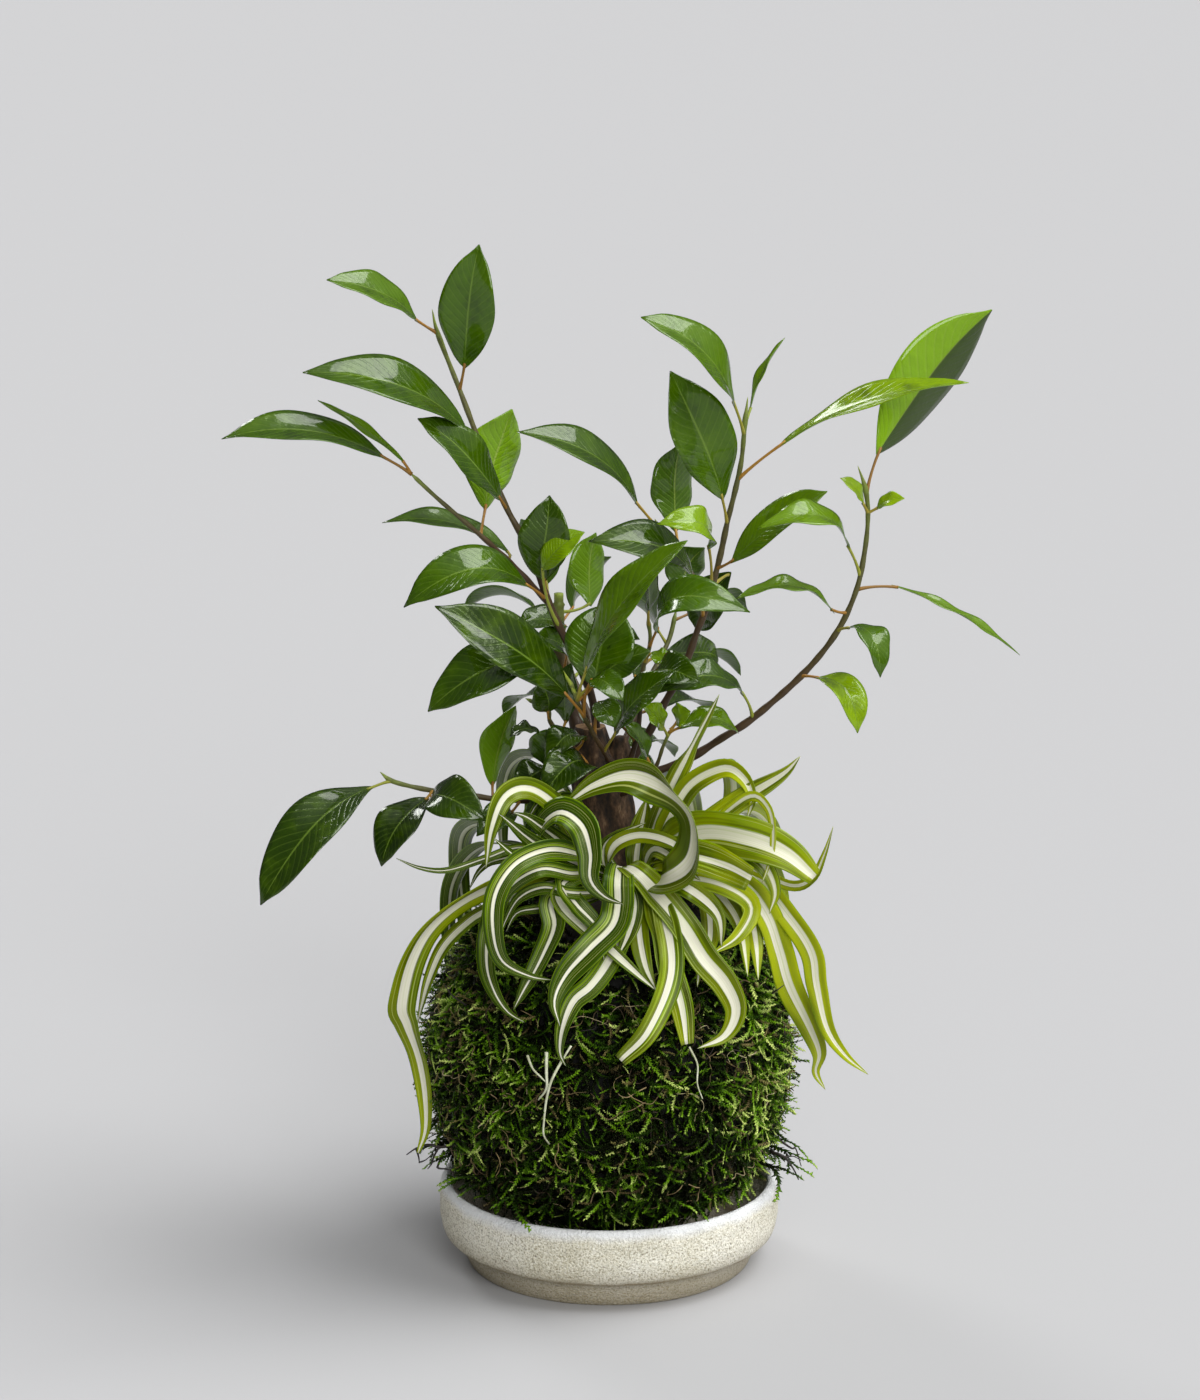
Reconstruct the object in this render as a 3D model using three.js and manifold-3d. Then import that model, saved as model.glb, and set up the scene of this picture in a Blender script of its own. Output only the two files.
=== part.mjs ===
// A moss ball (kokedama) with a small ficus stump and a spider plant, resting in a stoneware saucer.
// Millimetres, +Z up, the front towards -Y. The origin is the middle of the saucer's underside.

import * as THREE from 'three';
import { mergeVertices } from 'three/addons/utils/BufferGeometryUtils.js';
import Module from 'manifold-3d';

const wasm = await Module();
wasm.setup();

// ---------------------------------------------------------------- driving dimensions

const clearance = 0.3; // left all round between two pieces that touch

const saucer = { radius: 65, height: 33, footTop: 10, footRadius: 58, footBottomRadius: 54.5, floor: 8 };
saucer.innerRadius = saucer.radius - 4.2;

// The ball is a superellipsoid: a little fuller than an ellipsoid low down and at its shoulders.
const ball = { radius: 70, halfHeight: 73, power: 2.12, wrap: 7 };
ball.centreZ = saucer.floor + clearance + ball.halfHeight;
const relief = { lump: 1.2, tuft: 5 }; // mm, of the moss

const opening = { x: 2, y: -12, radius: 31 }; // where the moss leaves the soil bare on top
const crown = { x: 9, y: -28 }; // where the spider plant's leaves come together

const leafThickness = 1.0; // at the midrib; a blade thins out to its edges
const leafFold = 16; // degrees each half of a ficus leaf is folded up
const strapThickness = 1.0;
const strapFold = 20;
const strapFlutter = 14; // degrees a strap rolls to and fro along its length
const stalkRadius = 0.6;
const leafStations = [0.1, 0.3, 0.52, 0.75, 0.92];
const smallLeafStations = [0.15, 0.5, 0.85];
const smallLeafWidth = 12; // leaves up to this width have the fewer sections
const strapStep = 24; // mm between the sections of a strap leaf
const up = new THREE.Vector3(0, 0, 1);
const front = new THREE.Vector3(0, -1, 0);

// Rings of the stump: height, centre x, centre y, radius.
const trunkRings = [
  [128, -2, 1, 8], [146, -2, 1, 11.5], [162, -2, 0, 11.8], [180, -2.5, 0, 11.2],
  [194, -3.5, 0, 10.6], [202, -6.5, 0, 7.6], [209.5, -7, 0, 5.6],
];
const sideStumpRings = [[176, 1, -1, 6.5], [192, 3, -2, 5.4], [201, 3.8, -2, 4.2], [206, 4, -2, 2.4]];
const crownRings = [[136, 3], [146, 7], [157, 9.5], [166, 8], [170, 4]]; // height, radius

// Ficus twigs: points from the foot up, the radius at the foot and the tip, and the leaves.
// A leaf is [share along the twig, base of the blade, tip, width, arch, roll]. The roll turns
// its upper side from facing the front (0) over facing up (90) to facing the back (180).
const twigs = {
  stem_tall_left: {
    radius: [1.7, 0.8],
    points: [
      [-4, 0, 200], [-7, -3, 223], [-17, -4, 245], [-23, -4, 259], [-30, -3, 278], [-38, -2, 293],
      [-46, 0, 312], [-55, 2, 336], [-63, 3, 357], [-65, 3, 366],
    ],
    leaves: [
      [0.89, [-70, 2, 361], [-102, -22, 380], 17, 5, 66],
      [0.78, [-53, -3, 345], [-47, -14, 392], 22, 4, 15],
      [0.67, [-52, -3, 321], [-111, -26, 347], 23, 10, 60],
      [0.55, [-40, -4, 296], [-70, -18, 329], 20, 4, 56],
      [0.34, [-24, -10, 267], [-22, -14, 300], 20, 3, 12],
      [0.24, [-25, -15, 272], [-9, -18, 287], 13, 3, 45],
    ],
  },
  branch_left: {
    radius: [1.2, 0.7],
    points: [
      [-23, -4, 258], [-36, -8, 273], [-49, -12, 286], [-63, -15, 299], [-73, -17, 309],
    ],
    leaves: [
      [0.98, [-81, -19, 314], [-140, -34, 324], 20, 8, 68],
      [1.0, [-74, -18, 312], [-106, -20, 336], 5, 2, 60],
      [0.47, [-46, 4, 291], [-36, 10, 328], 24, 3, 150],
      [0.29, [-36, 2, 274], [-84, -6, 288], 15, 7, 76],
      [0.02, [-29, -14, 265], [-75, -34, 262], 22, 15, 55],
    ],
  },
  stem_stub: {
    radius: [2.6, 2.0],
    points: [
      [-9, 4, 200], [-14, 8, 213], [-17, 12, 225], [-19, 14, 234], [-19, 16, 246], [-19, 16, 257],
    ],
    leaves: [
      [0.69, [-16, 12, 245], [-34, -2, 249], 14, 3, 66],
      [0.45, [-16, 7, 236], [-28, -7, 245], 12, 3, 62],
      [0.87, [-7, 20, 251], [-5, 28, 278], 17, 3, 148],
    ],
  },
  stem_front: {
    radius: [1.1, 0.7],
    points: [
      [1, -6, 195], [-2, -17, 204], [-5, -21, 210], [-10, -27, 221], [-12, -29, 227], [-15, -30, 235],
    ],
    leaves: [
      [0.57, [-15, -36, 229], [-63, -54, 267], 24, 6, 46],
      [0.78, [-9, -37, 238], [28, -54, 291], 22, 6, 63],
      [0.78, [-6, -30, 231], [2, -24, 262], 28, 3, 20],
      [0.8, [-4, -31, 235], [15, -34, 246], 15, 3, 42],
      [0.57, [-7, -38, 236], [5, -50, 231], 12, 4, 50],
      [0.42, [-4, -25, 225], [2, -33, 217], 11, 3, 20],
      [0.2, [2, -25, 212], [24, -40, 240], 17, 4, 60],
      [0.78, [-22, -33, 245], [-66, -46, 226], 22, 9, 42],
    ],
  },
  stem_low_left: {
    radius: [1.1, 0.7],
    points: [
      [-7, -5, 195], [-18, -12, 209], [-22, -15, 215], [-23, -17, 220], [-31, -20, 225],
    ],
    leaves: [
      [0.57, [-23, -17, 219], [-25, -19, 232], 15, 2, 30],
      [0.27, [-16, -10, 213], [-14, -9, 236], 14, 2, 42],
      [0.2, [-24, -14, 198], [-20, -21, 214], 15, 2, 25],
      [0.12, [-9, -14, 207], [-23, -28, 201], 14, 8, 58],
      [0.34, [-25, -17, 210], [-37, -20, 210], 10, 3, 80],
      [0.09, [-7, -18, 197], [-25, -38, 191], 18, 11, 50],
      [0.15, [-23, -12, 196], [-34, -14, 189], 14, 3, 32],
    ],
  },
  stem_left: {
    radius: [1.5, 0.8],
    points: [
      [-2, -2, 177], [-18, -5, 181], [-33, -8, 183], [-43, -10, 184], [-56, -13, 187], [-67, -16, 189],
      [-80, -19, 193], [-85, -20, 197],
    ],
    leaves: [
      [0.87, [-87, -22, 192], [-128, -46, 153], 24, 10, 44],
      [0.7, [-67, -20, 187], [-84, -36, 165], 18, 6, 42],
      [0.64, [-66, -24, 188], [-45, -46, 185], 18, 8, 40],
      [0.43, [-44, 4, 185], [-35, 2, 217], 16, 3, 142],
      [0.29, [-36, -14, 180], [-49, -34, 176], 12, 4, 45],
      [0.21, [-24, -14, 180], [-31, -36, 176], 13, 5, 30],
      [0.15, [-18, -8, 177], [-18, -16, 167], 12, 3, 25],
    ],
  },
  stem_tall_right: {
    radius: [1.7, 0.8],
    points: [
      [5, 3, 190], [14, 6, 204], [21, 8, 217], [28, 9, 230], [33, 10, 244], [36, 10, 252],
      [41, 10, 271], [44, 9, 286], [47, 8, 299], [49, 7, 310], [50, 6, 323], [51, 6, 333],
    ],
    leaves: [
      [0.88, [46, 0, 330], [11, -18, 366], 21, 8, 62],
      [0.63, [42, 3, 295], [22, -8, 345], 26, 3, 28],
      [0.9, [52, 10, 327], [65, 14, 354], 8, 2, 80],
      [0.75, [62, 2, 315], [130, -24, 343], 18, 6, 76],
      [0.53, [45, 3, 271], [80, -12, 301], 17, 3, 56],
      [0.49, [36, -5, 278], [17, -24, 291], 14, 10, 60],
      [0.5, [46, 22, 264], [33, 34, 239], 18, 3, 36],
      [0.43, [31, -4, 266], [-8, -26, 285], 20, 10, 58],
    ],
  },
  branch_back: {
    radius: [0.9, 0.6],
    points: [
      [37, 10, 258], [30, 14, 266], [25, 17, 272], [20, 18, 279], [17, 18, 285],
    ],
    leaves: [
      [0.36, [25, 22, 279], [27, 26, 313], 19, 3, 150],
      [0.78, [11, 12, 290], [-34, -12, 323], 20, 9, 68],
    ],
  },
  stem_arch_right: {
    radius: [1.7, 0.8],
    points: [
      [6, 0, 186], [17, -1, 192], [29, -2, 197], [41, -3, 205], [54, -4, 214], [72, -6, 231],
      [84, -8, 247], [91, -9, 263], [94, -9, 278], [95, -9, 291], [94, -9, 301], [91, -9, 310],
    ],
    leaves: [
      [0.36, [50, -12, 224], [17, -30, 229], 18, 9, 66],
      [0.67, [88, -14, 279], [53, -34, 291], 14, 12, 68],
      [0.59, [83, -12, 255], [46, -28, 264], 10, 9, 76],
      [0.64, [104, -7, 265], [153, -2, 237], 7, 3, 78],
      [0.55, [87, -14, 250], [99, -30, 235], 13, 9, 50],
      [0.45, [76, -13, 231], [91, -30, 214], 15, 9, 50],
      [0.89, [98, -4, 313], [141, 10, 365], 30, 4, 150],
      [0.83, [93, -12, 296], [84, -18, 307], 7, 2, 60],
      [0.83, [98, -10, 294], [108, -16, 299], 7, 2, 60],
    ],
  },
  stem_mid: {
    radius: [1.2, 0.7],
    points: [
      [3, -4, 189], [8, -8, 199], [11, -10, 214], [12, -11, 232], [15, -12, 244], [14, -13, 255],
    ],
    leaves: [
      [0.92, [14, -15, 256], [11, -20, 276], 12, 2, 60],
      [0.78, [18, -18, 249], [51, -42, 262], 18, 17, 56],
      [0.67, [15, -16, 241], [23, -20, 238], 7, 1, 40],
      [0.66, [20, 14, 234], [42, 46, 225], 15, 4, 48],
      [0.57, [16, -18, 234], [33, -34, 234], 15, 5, 46],
      [0.3, [5, -12, 212], [-4, -8, 219], 12, 2, 40],
    ],
  },
  stem_low_right: {
    radius: [1.0, 0.6],
    points: [
      [1, -6, 183], [11, -13, 190], [17, -14, 197], [20, -16, 206], [23, -17, 213],
    ],
    leaves: [
      [0.89, [20, -19, 213], [12, -24, 223], 10, 2, 50],
      [0.97, [25, -17, 215], [30, -20, 220], 10, 2, 50],
      [0.94, [25, -19, 213], [48, -14, 210], 13, 6, 66],
      [0.48, [14, -18, 201], [5, -18, 215], 12, 2, 68],
    ],
  },
  stem_back_left: {
    radius: [1.5, 0.8],
    points: [
      [-4, 6, 194], [-8, 24, 208], [-15, 38, 223], [-20, 48, 237], [-24, 54, 248],
    ],
    leaves: [
      [0.96, [-24, 56, 252], [-34, 60, 277], 20, 4, 150],
      [0.87, [-28, 56, 242], [-57, 66, 240], 21, 6, 110],
      [0.75, [-14, 56, 242], [1, 66, 261], 20, 5, 130],
      [0.57, [-23, 44, 229], [-51, 56, 219], 21, 6, 105],
      [0.45, [-7, 46, 223], [12, 62, 229], 20, 6, 120],
      [0.29, [-16, 32, 211], [-41, 46, 202], 20, 6, 100],
    ],
  },
  stem_back_right: {
    radius: [1.5, 0.8],
    points: [
      [1, 6, 192], [9, 26, 205], [16, 42, 219], [23, 52, 231], [26, 58, 242],
    ],
    leaves: [
      [0.98, [27, 60, 247], [37, 64, 265], 19, 4, 150],
      [0.91, [31, 60, 239], [54, 70, 239], 20, 6, 110],
      [0.72, [18, 58, 234], [5, 68, 247], 20, 5, 130],
      [0.56, [26, 46, 223], [51, 56, 216], 21, 6, 105],
      [0.41, [10, 46, 217], [-4, 66, 218], 19, 6, 120],
      [0.29, [19, 34, 208], [41, 46, 200], 20, 6, 100],
    ],
  },
  stem_back_low: {
    radius: [1.3, 0.8],
    points: [
      [-2, 6, 179], [-1, 24, 183], [-4, 44, 183], [-2, 62, 185],
    ],
    leaves: [
      [0.96, [-2, 66, 187], [-2, 104, 183], 20, 8, 90],
      [0.84, [-9, 60, 185], [-31, 78, 177], 19, 6, 95],
      [0.84, [4, 60, 185], [26, 78, 178], 19, 6, 95],
      [0.54, [-10, 44, 181], [-27, 64, 168], 18, 7, 95],
      [0.45, [5, 44, 180], [22, 64, 168], 18, 7, 95],
    ],
  },
};

// Side branches grow out of a twig and are one piece with it.
const branches = { branch_left: 'stem_tall_left', branch_back: 'stem_tall_right' };

// Spider plant leaves: width, points from the crown to the tip, and, where a leaf has them, the
// degrees it rolls over by a third of its length (turn), the degrees it rolls past its middle
// (twist) and the share of its width left at a cut tip (cut).
const straps = [
  { width: 17, turn: 85, twist: 45, cut: 0.12, points: [
    [11, -34, 157], [21, -56, 166], [29, -62, 174], [31, -64, 185], [28, -62, 194], [19, -58, 201],
    [7, -54, 204], [-5, -51, 200], [-15, -49, 193],
  ] },
  { width: 9, turn: -70, points: [
    [5, -30, 157], [-7, -36, 168], [-18, -40, 187], [-29, -46, 197], [-38, -52, 196], [-43, -56, 185],
    [-45, -56, 170],
  ] },
  { width: 7, turn: -95, points: [[5, -32, 157], [-10, -42, 167], [-25, -52, 177], [-40, -58, 191]] },
  { width: 5, turn: -90, points: [[5, -34, 156], [-14, -48, 166], [-32, -58, 174], [-42, -62, 183]] },
  { width: 3, turn: -70, points: [
    [5, -28, 156], [-13, -32, 168], [-32, -38, 173], [-45, -42, 170], [-59, -44, 166], [-69, -45, 167],
    [-78, -46, 171],
  ] },
  { width: 12.5, turn: -220, twist: 50, points: [
    [6, -32, 157], [-7, -36, 162], [-21, -42, 171], [-25, -47, 182], [-18, -52, 190], [-10, -56, 186],
    [-7, -60, 177], [-7, -63, 168], [-2, -64, 162], [5, -65, 159],
  ] },
  { width: 9.5, turn: -55, points: [
    [6, -26, 156], [-6, -28, 169], [-15, -30, 187], [-21, -36, 187], [-24, -40, 176],
  ] },
  { width: 7.5, turn: 115, twist: 50, points: [
    [10, -24, 155], [13, -26, 166], [19, -29, 184], [28, -32, 206], [40, -35, 230],
  ] },
  { width: 8.5, turn: 95, points: [
    [10, -29, 156], [16, -33, 168], [23, -36, 185], [30, -38, 197], [42, -42, 204], [49, -46, 201],
    [52, -49, 194], [50, -50, 187],
  ] },
  { width: 9, turn: 95, points: [
    [11, -32, 157], [21, -38, 172], [33, -42, 181], [49, -47, 194], [63, -50, 204], [69, -52, 211],
  ] },
  { width: 4, turn: 75, points: [
    [11, -35, 157], [29, -44, 175], [44, -51, 191], [52, -55, 197], [57, -58, 194], [59, -60, 188],
    [59, -61, 179], [57, -62, 171], [55, -62, 166],
  ] },
  { width: 17.5, turn: 85, cut: 0.36, points: [
    [11, -34, 158], [20, -42, 173], [34, -50, 182], [50, -58, 182], [64, -62, 177], [74, -64, 169],
  ] },
  { width: 13.5, turn: 75, cut: 0.75, points: [
    [12, -38, 158], [19, -46, 172], [31, -58, 175], [43, -65, 173], [51, -69, 170],
  ] },
  { width: 12, turn: 80, points: [
    [8, -34, 156], [5, -42, 166], [10, -52, 167], [18, -51, 158], [27, -54, 147], [34, -59, 137],
    [42, -61, 128], [46, -62, 118], [42, -64, 109], [32, -67, 105],
  ] },
  { width: 12, turn: 5, points: [
    [7, -33, 156], [4, -43, 167], [3, -56, 165], [3, -56, 156], [1, -59, 149], [-7, -64, 142],
    [-16, -67, 133], [-20, -70, 124], [-18, -72, 115],
  ] },
  { width: 9.5, turn: 20, cut: 0.55, points: [
    [11, -37, 156], [15, -46, 161], [21, -55, 148], [22, -65, 132], [14, -74, 114], [4, -75, 103],
  ] },
  { width: 10.5, turn: 10, cut: 0.5, points: [
    [12, -37, 156], [14, -44, 161], [18, -52, 147], [21, -61, 135], [26, -66, 121], [28, -68, 107],
  ] },
  { width: 7.5, points: [[9, -37, 156], [10, -42, 158], [11, -54, 144], [13, -61, 134], [17, -64, 126]] },
  { width: 6.5, turn: -90, points: [
    [4, -36, 157], [-8, -46, 164], [-18, -54, 162], [-17, -52, 155], [-10, -54, 148], [-2, -58, 142],
    [7, -63, 135], [17, -67, 127],
  ] },
  { width: 8.5, turn: -10, points: [
    [6, -36, 156], [5, -51, 145], [-1, -60, 135], [-7, -65, 128], [-13, -67, 123], [-17, -70, 114],
    [-18, -71, 105], [-16, -72, 100],
  ] },
  { width: 8.5, turn: -70, points: [
    [5, -34, 157], [-2, -40, 166], [-13, -50, 174], [-23, -60, 178], [-34, -68, 175], [-41, -72, 165],
    [-42, -74, 152], [-39, -69, 139], [-29, -65, 132], [-20, -64, 130],
  ] },
  { width: 6, turn: -90, points: [
    [4, -34, 157], [-4, -40, 164], [-14, -52, 167], [-25, -64, 172], [-36, -59, 164], [-41, -55, 152],
    [-40, -53, 140],
  ] },
  { width: 5, turn: -95, points: [
    [4, -36, 156], [-5, -46, 158], [-14, -56, 161], [-24, -53, 162], [-33, -50, 157], [-38, -49, 148],
    [-40, -49, 142],
  ] },
  { width: 9.5, turn: -70, points: [
    [3, -36, 157], [-11, -48, 162], [-21, -48, 156], [-20, -52, 147], [-24, -58, 138], [-31, -62, 126],
    [-35, -61, 118],
  ] },
  { width: 4, turn: -50, points: [
    [3, -38, 156], [-11, -43, 153], [-26, -43, 151], [-34, -42, 149], [-38, -42, 142],
  ] },
  { width: 8.5, turn: -75, points: [
    [2, -30, 157], [-22, -42, 168], [-38, -40, 159], [-44, -42, 143], [-45, -49, 131], [-42, -56, 123],
    [-37, -61, 117], [-31, -64, 114],
  ] },
  { width: 11, turn: -115, twist: 50, cut: 0.1, points: [
    [2, -27, 157], [-15, -32, 164], [-32, -37, 161], [-50, -42, 156], [-65, -44, 145], [-73, -43, 131],
    [-77, -39, 113], [-75, -36, 104], [-71, -33, 90], [-69, -31, 75], [-69, -29, 61], [-72, -28, 51],
  ] },
  { width: 6.5, turn: -50, points: [
    [2, -30, 156], [-22, -38, 159], [-45, -32, 147], [-54, -29, 140], [-62, -28, 131], [-67, -29, 120],
    [-70, -27, 109], [-72, -24, 100],
  ] },
  { width: 4, turn: -70, points: [
    [2, -26, 156], [-20, -24, 167], [-41, -26, 165], [-48, -27, 161], [-52, -28, 154],
  ] },
  { width: 7.5, turn: 105, points: [
    [13, -36, 157], [24, -46, 166], [31, -43, 162], [36, -43, 152], [37, -47, 141], [33, -55, 132],
    [32, -59, 126],
  ] },
  { width: 8.5, turn: 80, points: [
    [13, -35, 157], [27, -42, 165], [37, -38, 158], [43, -35, 151], [48, -37, 142], [51, -43, 125],
  ] },
  { width: 9, turn: 85, points: [
    [13, -33, 157], [33, -40, 164], [46, -35, 158], [51, -33, 149], [54, -35, 135], [55, -41, 123],
  ] },
  { width: 11, turn: 80, points: [
    [14, -30, 157], [33, -36, 165], [49, -40, 159], [58, -34, 146], [63, -30, 131], [67, -28, 117],
    [75, -22, 99], [79, -17, 87], [78, -13, 78], [82, -10, 70],
  ] },
  { width: 9, turn: 80, points: [
    [14, -26, 156], [33, -28, 168], [52, -30, 161], [67, -32, 144], [75, -32, 131], [77, -31, 118],
    [81, -30, 101], [88, -29, 90], [97, -28, 82],
  ] },
  { width: 8, turn: 95, points: [
    [12, -38, 157], [28, -50, 165], [43, -45, 160], [52, -44, 152], [47, -48, 142], [37, -55, 137],
  ] },
  { width: 4.5, turn: -150, points: [
    [6, -33, 156], [-1, -38, 164], [-2, -41, 173], [2, -44, 179], [13, -48, 185],
  ] },
  { width: 6, turn: 165, points: [
    [6, -34, 157], [0, -42, 166], [2, -46, 176], [11, -50, 181], [22, -56, 180], [29, -59, 175],
    [32, -60, 169],
  ] },
  { width: 7, turn: 80, points: [[11, -34, 157], [16, -44, 174], [26, -54, 171], [33, -58, 166]] },
  { width: 8.5, turn: 30, points: [[9, -25, 156], [11, -22, 173], [14, -20, 187]] },
  { width: 8, turn: -80, points: [
    [5, -30, 156], [-5, -34, 171], [-16, -36, 184], [-23, -38, 191], [-27, -42, 190], [-31, -45, 183],
  ] },
  { width: 7.5, turn: -95, points: [
    [4, -32, 156], [-9, -40, 168], [-20, -46, 179], [-29, -50, 187], [-35, -52, 190],
  ] },
  { width: 8, turn: -25, points: [
    [3, -34, 156], [-8, -44, 164], [-17, -56, 164], [-12, -55, 156], [-4, -57, 147], [-2, -62, 137],
  ] },
  { width: 9, turn: 70, points: [
    [13, -31, 157], [30, -42, 174], [43, -53, 178], [55, -58, 173], [60, -60, 163], [58, -60, 154],
  ] },
  { width: 7.5, turn: 70, points: [
    [11, -38, 157], [19, -50, 164], [29, -62, 164], [39, -57, 153], [41, -52, 139],
  ] },
  { width: 7, turn: 15, points: [
    [8, -36, 157], [7, -44, 161], [9, -49, 154], [7, -55, 145], [3, -61, 138],
  ] },
  { width: 4.5, turn: 80, points: [
    [12, -30, 157], [30, -36, 169], [49, -44, 168], [66, -50, 162], [74, -54, 166], [78, -56, 175],
    [81, -57, 186],
  ] },
  { width: 9, points: [
    [6, -28, 156], [-14, -32, 172], [-38, -14, 175], [-54, 14, 166], [-58, 38, 146], [-56, 50, 116],
    [-54, 56, 88],
  ] },
  { width: 8, points: [
    [6, -27, 156], [-12, -24, 184], [-26, 2, 196], [-38, 30, 186], [-42, 54, 158], [-40, 66, 124],
  ] },
  { width: 9, points: [
    [12, -27, 156], [32, -26, 174], [52, -6, 178], [62, 20, 160], [60, 42, 134], [58, 52, 102],
  ] },
  { width: 8, points: [
    [12, -26, 156], [30, -16, 184], [42, 10, 192], [48, 38, 176], [46, 58, 146], [44, 68, 110],
    [42, 70, 84],
  ] },
  { width: 10, points: [
    [12, -24, 157], [22, 0, 170], [28, 28, 176], [32, 54, 162], [34, 72, 130], [32, 80, 98],
  ] },
  { width: 9, points: [
    [4, -28, 157], [-14, -26, 165], [-26, -4, 164], [-28, 28, 174], [-26, 56, 164], [-26, 76, 132],
    [-24, 80, 100],
  ] },
  { width: 8, points: [
    [5, -28, 157], [-24, -24, 166], [-46, -2, 164], [-60, 24, 142], [-62, 42, 110], [-60, 48, 80],
  ] },
  { width: 8, points: [[13, -28, 157], [38, -22, 168], [56, 2, 160], [66, 26, 134], [66, 38, 104]] },
  { width: 9, points: [
    [12, -24, 157], [24, 6, 164], [22, 38, 168], [14, 64, 154], [8, 80, 124], [6, 84, 90],
  ] },
  { width: 9, points: [
    [4, -29, 157], [-20, -22, 164], [-29, 6, 171], [-18, 42, 174], [-8, 68, 154], [-4, 84, 120],
    [-2, 86, 96],
  ] },
];

// ---------------------------------------------------------------- solids

function solidFrom(vertices, faces) {
  const mesh = new wasm.Mesh({
    numProp: 3,
    vertProperties: Float32Array.from(vertices.flatMap((v) => [v.x, v.y, v.z])),
    triVerts: Uint32Array.from(faces.flat()),
  });
  return new wasm.Manifold(mesh);
}

function solidFromGeometry(geometry) {
  geometry.deleteAttribute('normal');
  geometry.deleteAttribute('uv');
  const merged = mergeVertices(geometry, 1e-4);
  const place = merged.attributes.position;
  const vertices = Array.from({ length: place.count }, (_, i) =>
    new THREE.Vector3().fromBufferAttribute(place, i));
  const faces = [];
  for (let i = 0; i < merged.index.count; i += 3) {
    const [a, b, c] = [0, 1, 2].map((k) => merged.index.getX(i + k));
    if (a !== b && b !== c && c !== a) faces.push([a, b, c]);
  }
  return solidFrom(vertices, faces);
}

// The union of pieces that grow as one, without the pinholes that crossing blades can seal.
function joined(pieces) {
  const whole = pieces.reduce((sum, piece) => sum.add(piece));
  return whole.decompose().reduce((largest, body) => (body.volume() > largest.volume() ? body : largest));
}

function geometryFrom(solid) {
  const { vertProperties, triVerts } = solid.getMesh();
  const geometry = new THREE.BufferGeometry();
  geometry.setAttribute('position', new THREE.Float32BufferAttribute(vertProperties, 3));
  geometry.setIndex(Array.from(triVerts));
  geometry.computeVertexNormals();
  return geometry;
}

// A tube through rings of equal count, closed at both ends by a point in the ring's middle.
function loft(rings) {
  const count = rings[0].length;
  const vertices = rings.flat();
  const faces = [];
  for (let i = 0; i + 1 < rings.length; i++) {
    for (let j = 0; j < count; j++) {
      const [a, b] = [i * count + j, i * count + ((j + 1) % count)];
      faces.push([a, b, b + count], [a, b + count, a + count]);
    }
  }
  const last = (rings.length - 1) * count;
  const middle = (ring) => ring.reduce((sum, p) => sum.add(p), new THREE.Vector3()).divideScalar(count);
  vertices.push(middle(rings[0]), middle(rings.at(-1)));
  for (let j = 0; j < count; j++) {
    const k = (j + 1) % count;
    faces.push([vertices.length - 2, k, j], [vertices.length - 1, last + j, last + k]);
  }
  return solidFrom(vertices, faces);
}

// A blade through sections of left edge, upper rib, right edge and lower rib, with a point at
// each end. Its upper and lower faces are split into triangles alike.
function blade(start, sections, end) {
  const vertices = [start, ...sections.flat(), end];
  const faces = [[0, 2, 1], [0, 3, 2], [0, 4, 3], [0, 1, 4]];
  for (let i = 0; i + 1 < sections.length; i++) {
    const [l, t, r, b] = [1, 2, 3, 4].map((k) => i * 4 + k);
    faces.push([l, t, t + 4], [l, t + 4, l + 4], [r, t + 4, t], [r, r + 4, t + 4]);
    faces.push([l, b + 4, b], [l, l + 4, b + 4], [r, b, b + 4], [r, b + 4, r + 4]);
  }
  const [l, t, r, b] = [1, 2, 3, 4].map((k) => (sections.length - 1) * 4 + k);
  const e = vertices.length - 1;
  faces.push([e, l, t], [e, t, r], [e, r, b], [e, b, l]);
  return solidFrom(vertices, faces);
}

function bladeSection(centre, side, normal, halfWidth, thickness, fold) {
  const spread = side.clone().multiplyScalar(halfWidth * Math.cos(fold));
  const lift = normal.clone().multiplyScalar(halfWidth * Math.sin(fold));
  const rib = normal.clone().multiplyScalar(thickness / 2);
  return [
    centre.clone().sub(spread).add(lift),
    centre.clone().add(rib),
    centre.clone().add(spread).add(lift),
    centre.clone().sub(rib),
  ];
}

// ---------------------------------------------------------------- curves

const vector = ([x, y, z]) => new THREE.Vector3(x, y, z);
const spline = (points) => new THREE.CatmullRomCurve3(points.map(vector), false, 'catmullrom', 0.5);

// The direction nearest to wanted that is square to the tangent.
function squareTo(tangent, wanted) {
  return wanted.clone().addScaledVector(tangent, -wanted.dot(tangent)).normalize();
}

// Evenly spaced frames along a curve, each turned as little as possible from the one before.
function framesAlong(curve, count, firstNormal) {
  let normal = firstNormal;
  return Array.from({ length: count }, (_, i) => {
    const tangent = curve.getTangentAt(i / (count - 1)).normalize();
    normal = squareTo(tangent, normal);
    const side = tangent.clone().cross(normal);
    return { centre: curve.getPointAt(i / (count - 1)), tangent, normal: normal.clone(), side };
  });
}

function ringAround({ centre, normal, side }, radius, sides) {
  return Array.from({ length: sides }, (_, j) => {
    const turn = (2 * Math.PI * j) / sides;
    const along = normal.clone().multiplyScalar(radius * Math.cos(turn));
    return along.addScaledVector(side, radius * Math.sin(turn)).add(centre);
  });
}

function tube(curve, count, radiusAt, sides) {
  const frames = framesAlong(curve, count, new THREE.Vector3(0.3, 0.9, 0.1));
  return loft(frames.map((frame, i) => ringAround(frame, radiusAt(i / (count - 1)), sides)));
}

// ---------------------------------------------------------------- ficus

// Pointed at the stalk, fullest in the middle and drawn out at the tip.
const leafOutline = (s) =>
  Math.sin(Math.PI * s ** 1.04) ** 0.88 * (1 - 0.35 * THREE.MathUtils.smoothstep(s, 0.86, 1));

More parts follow.
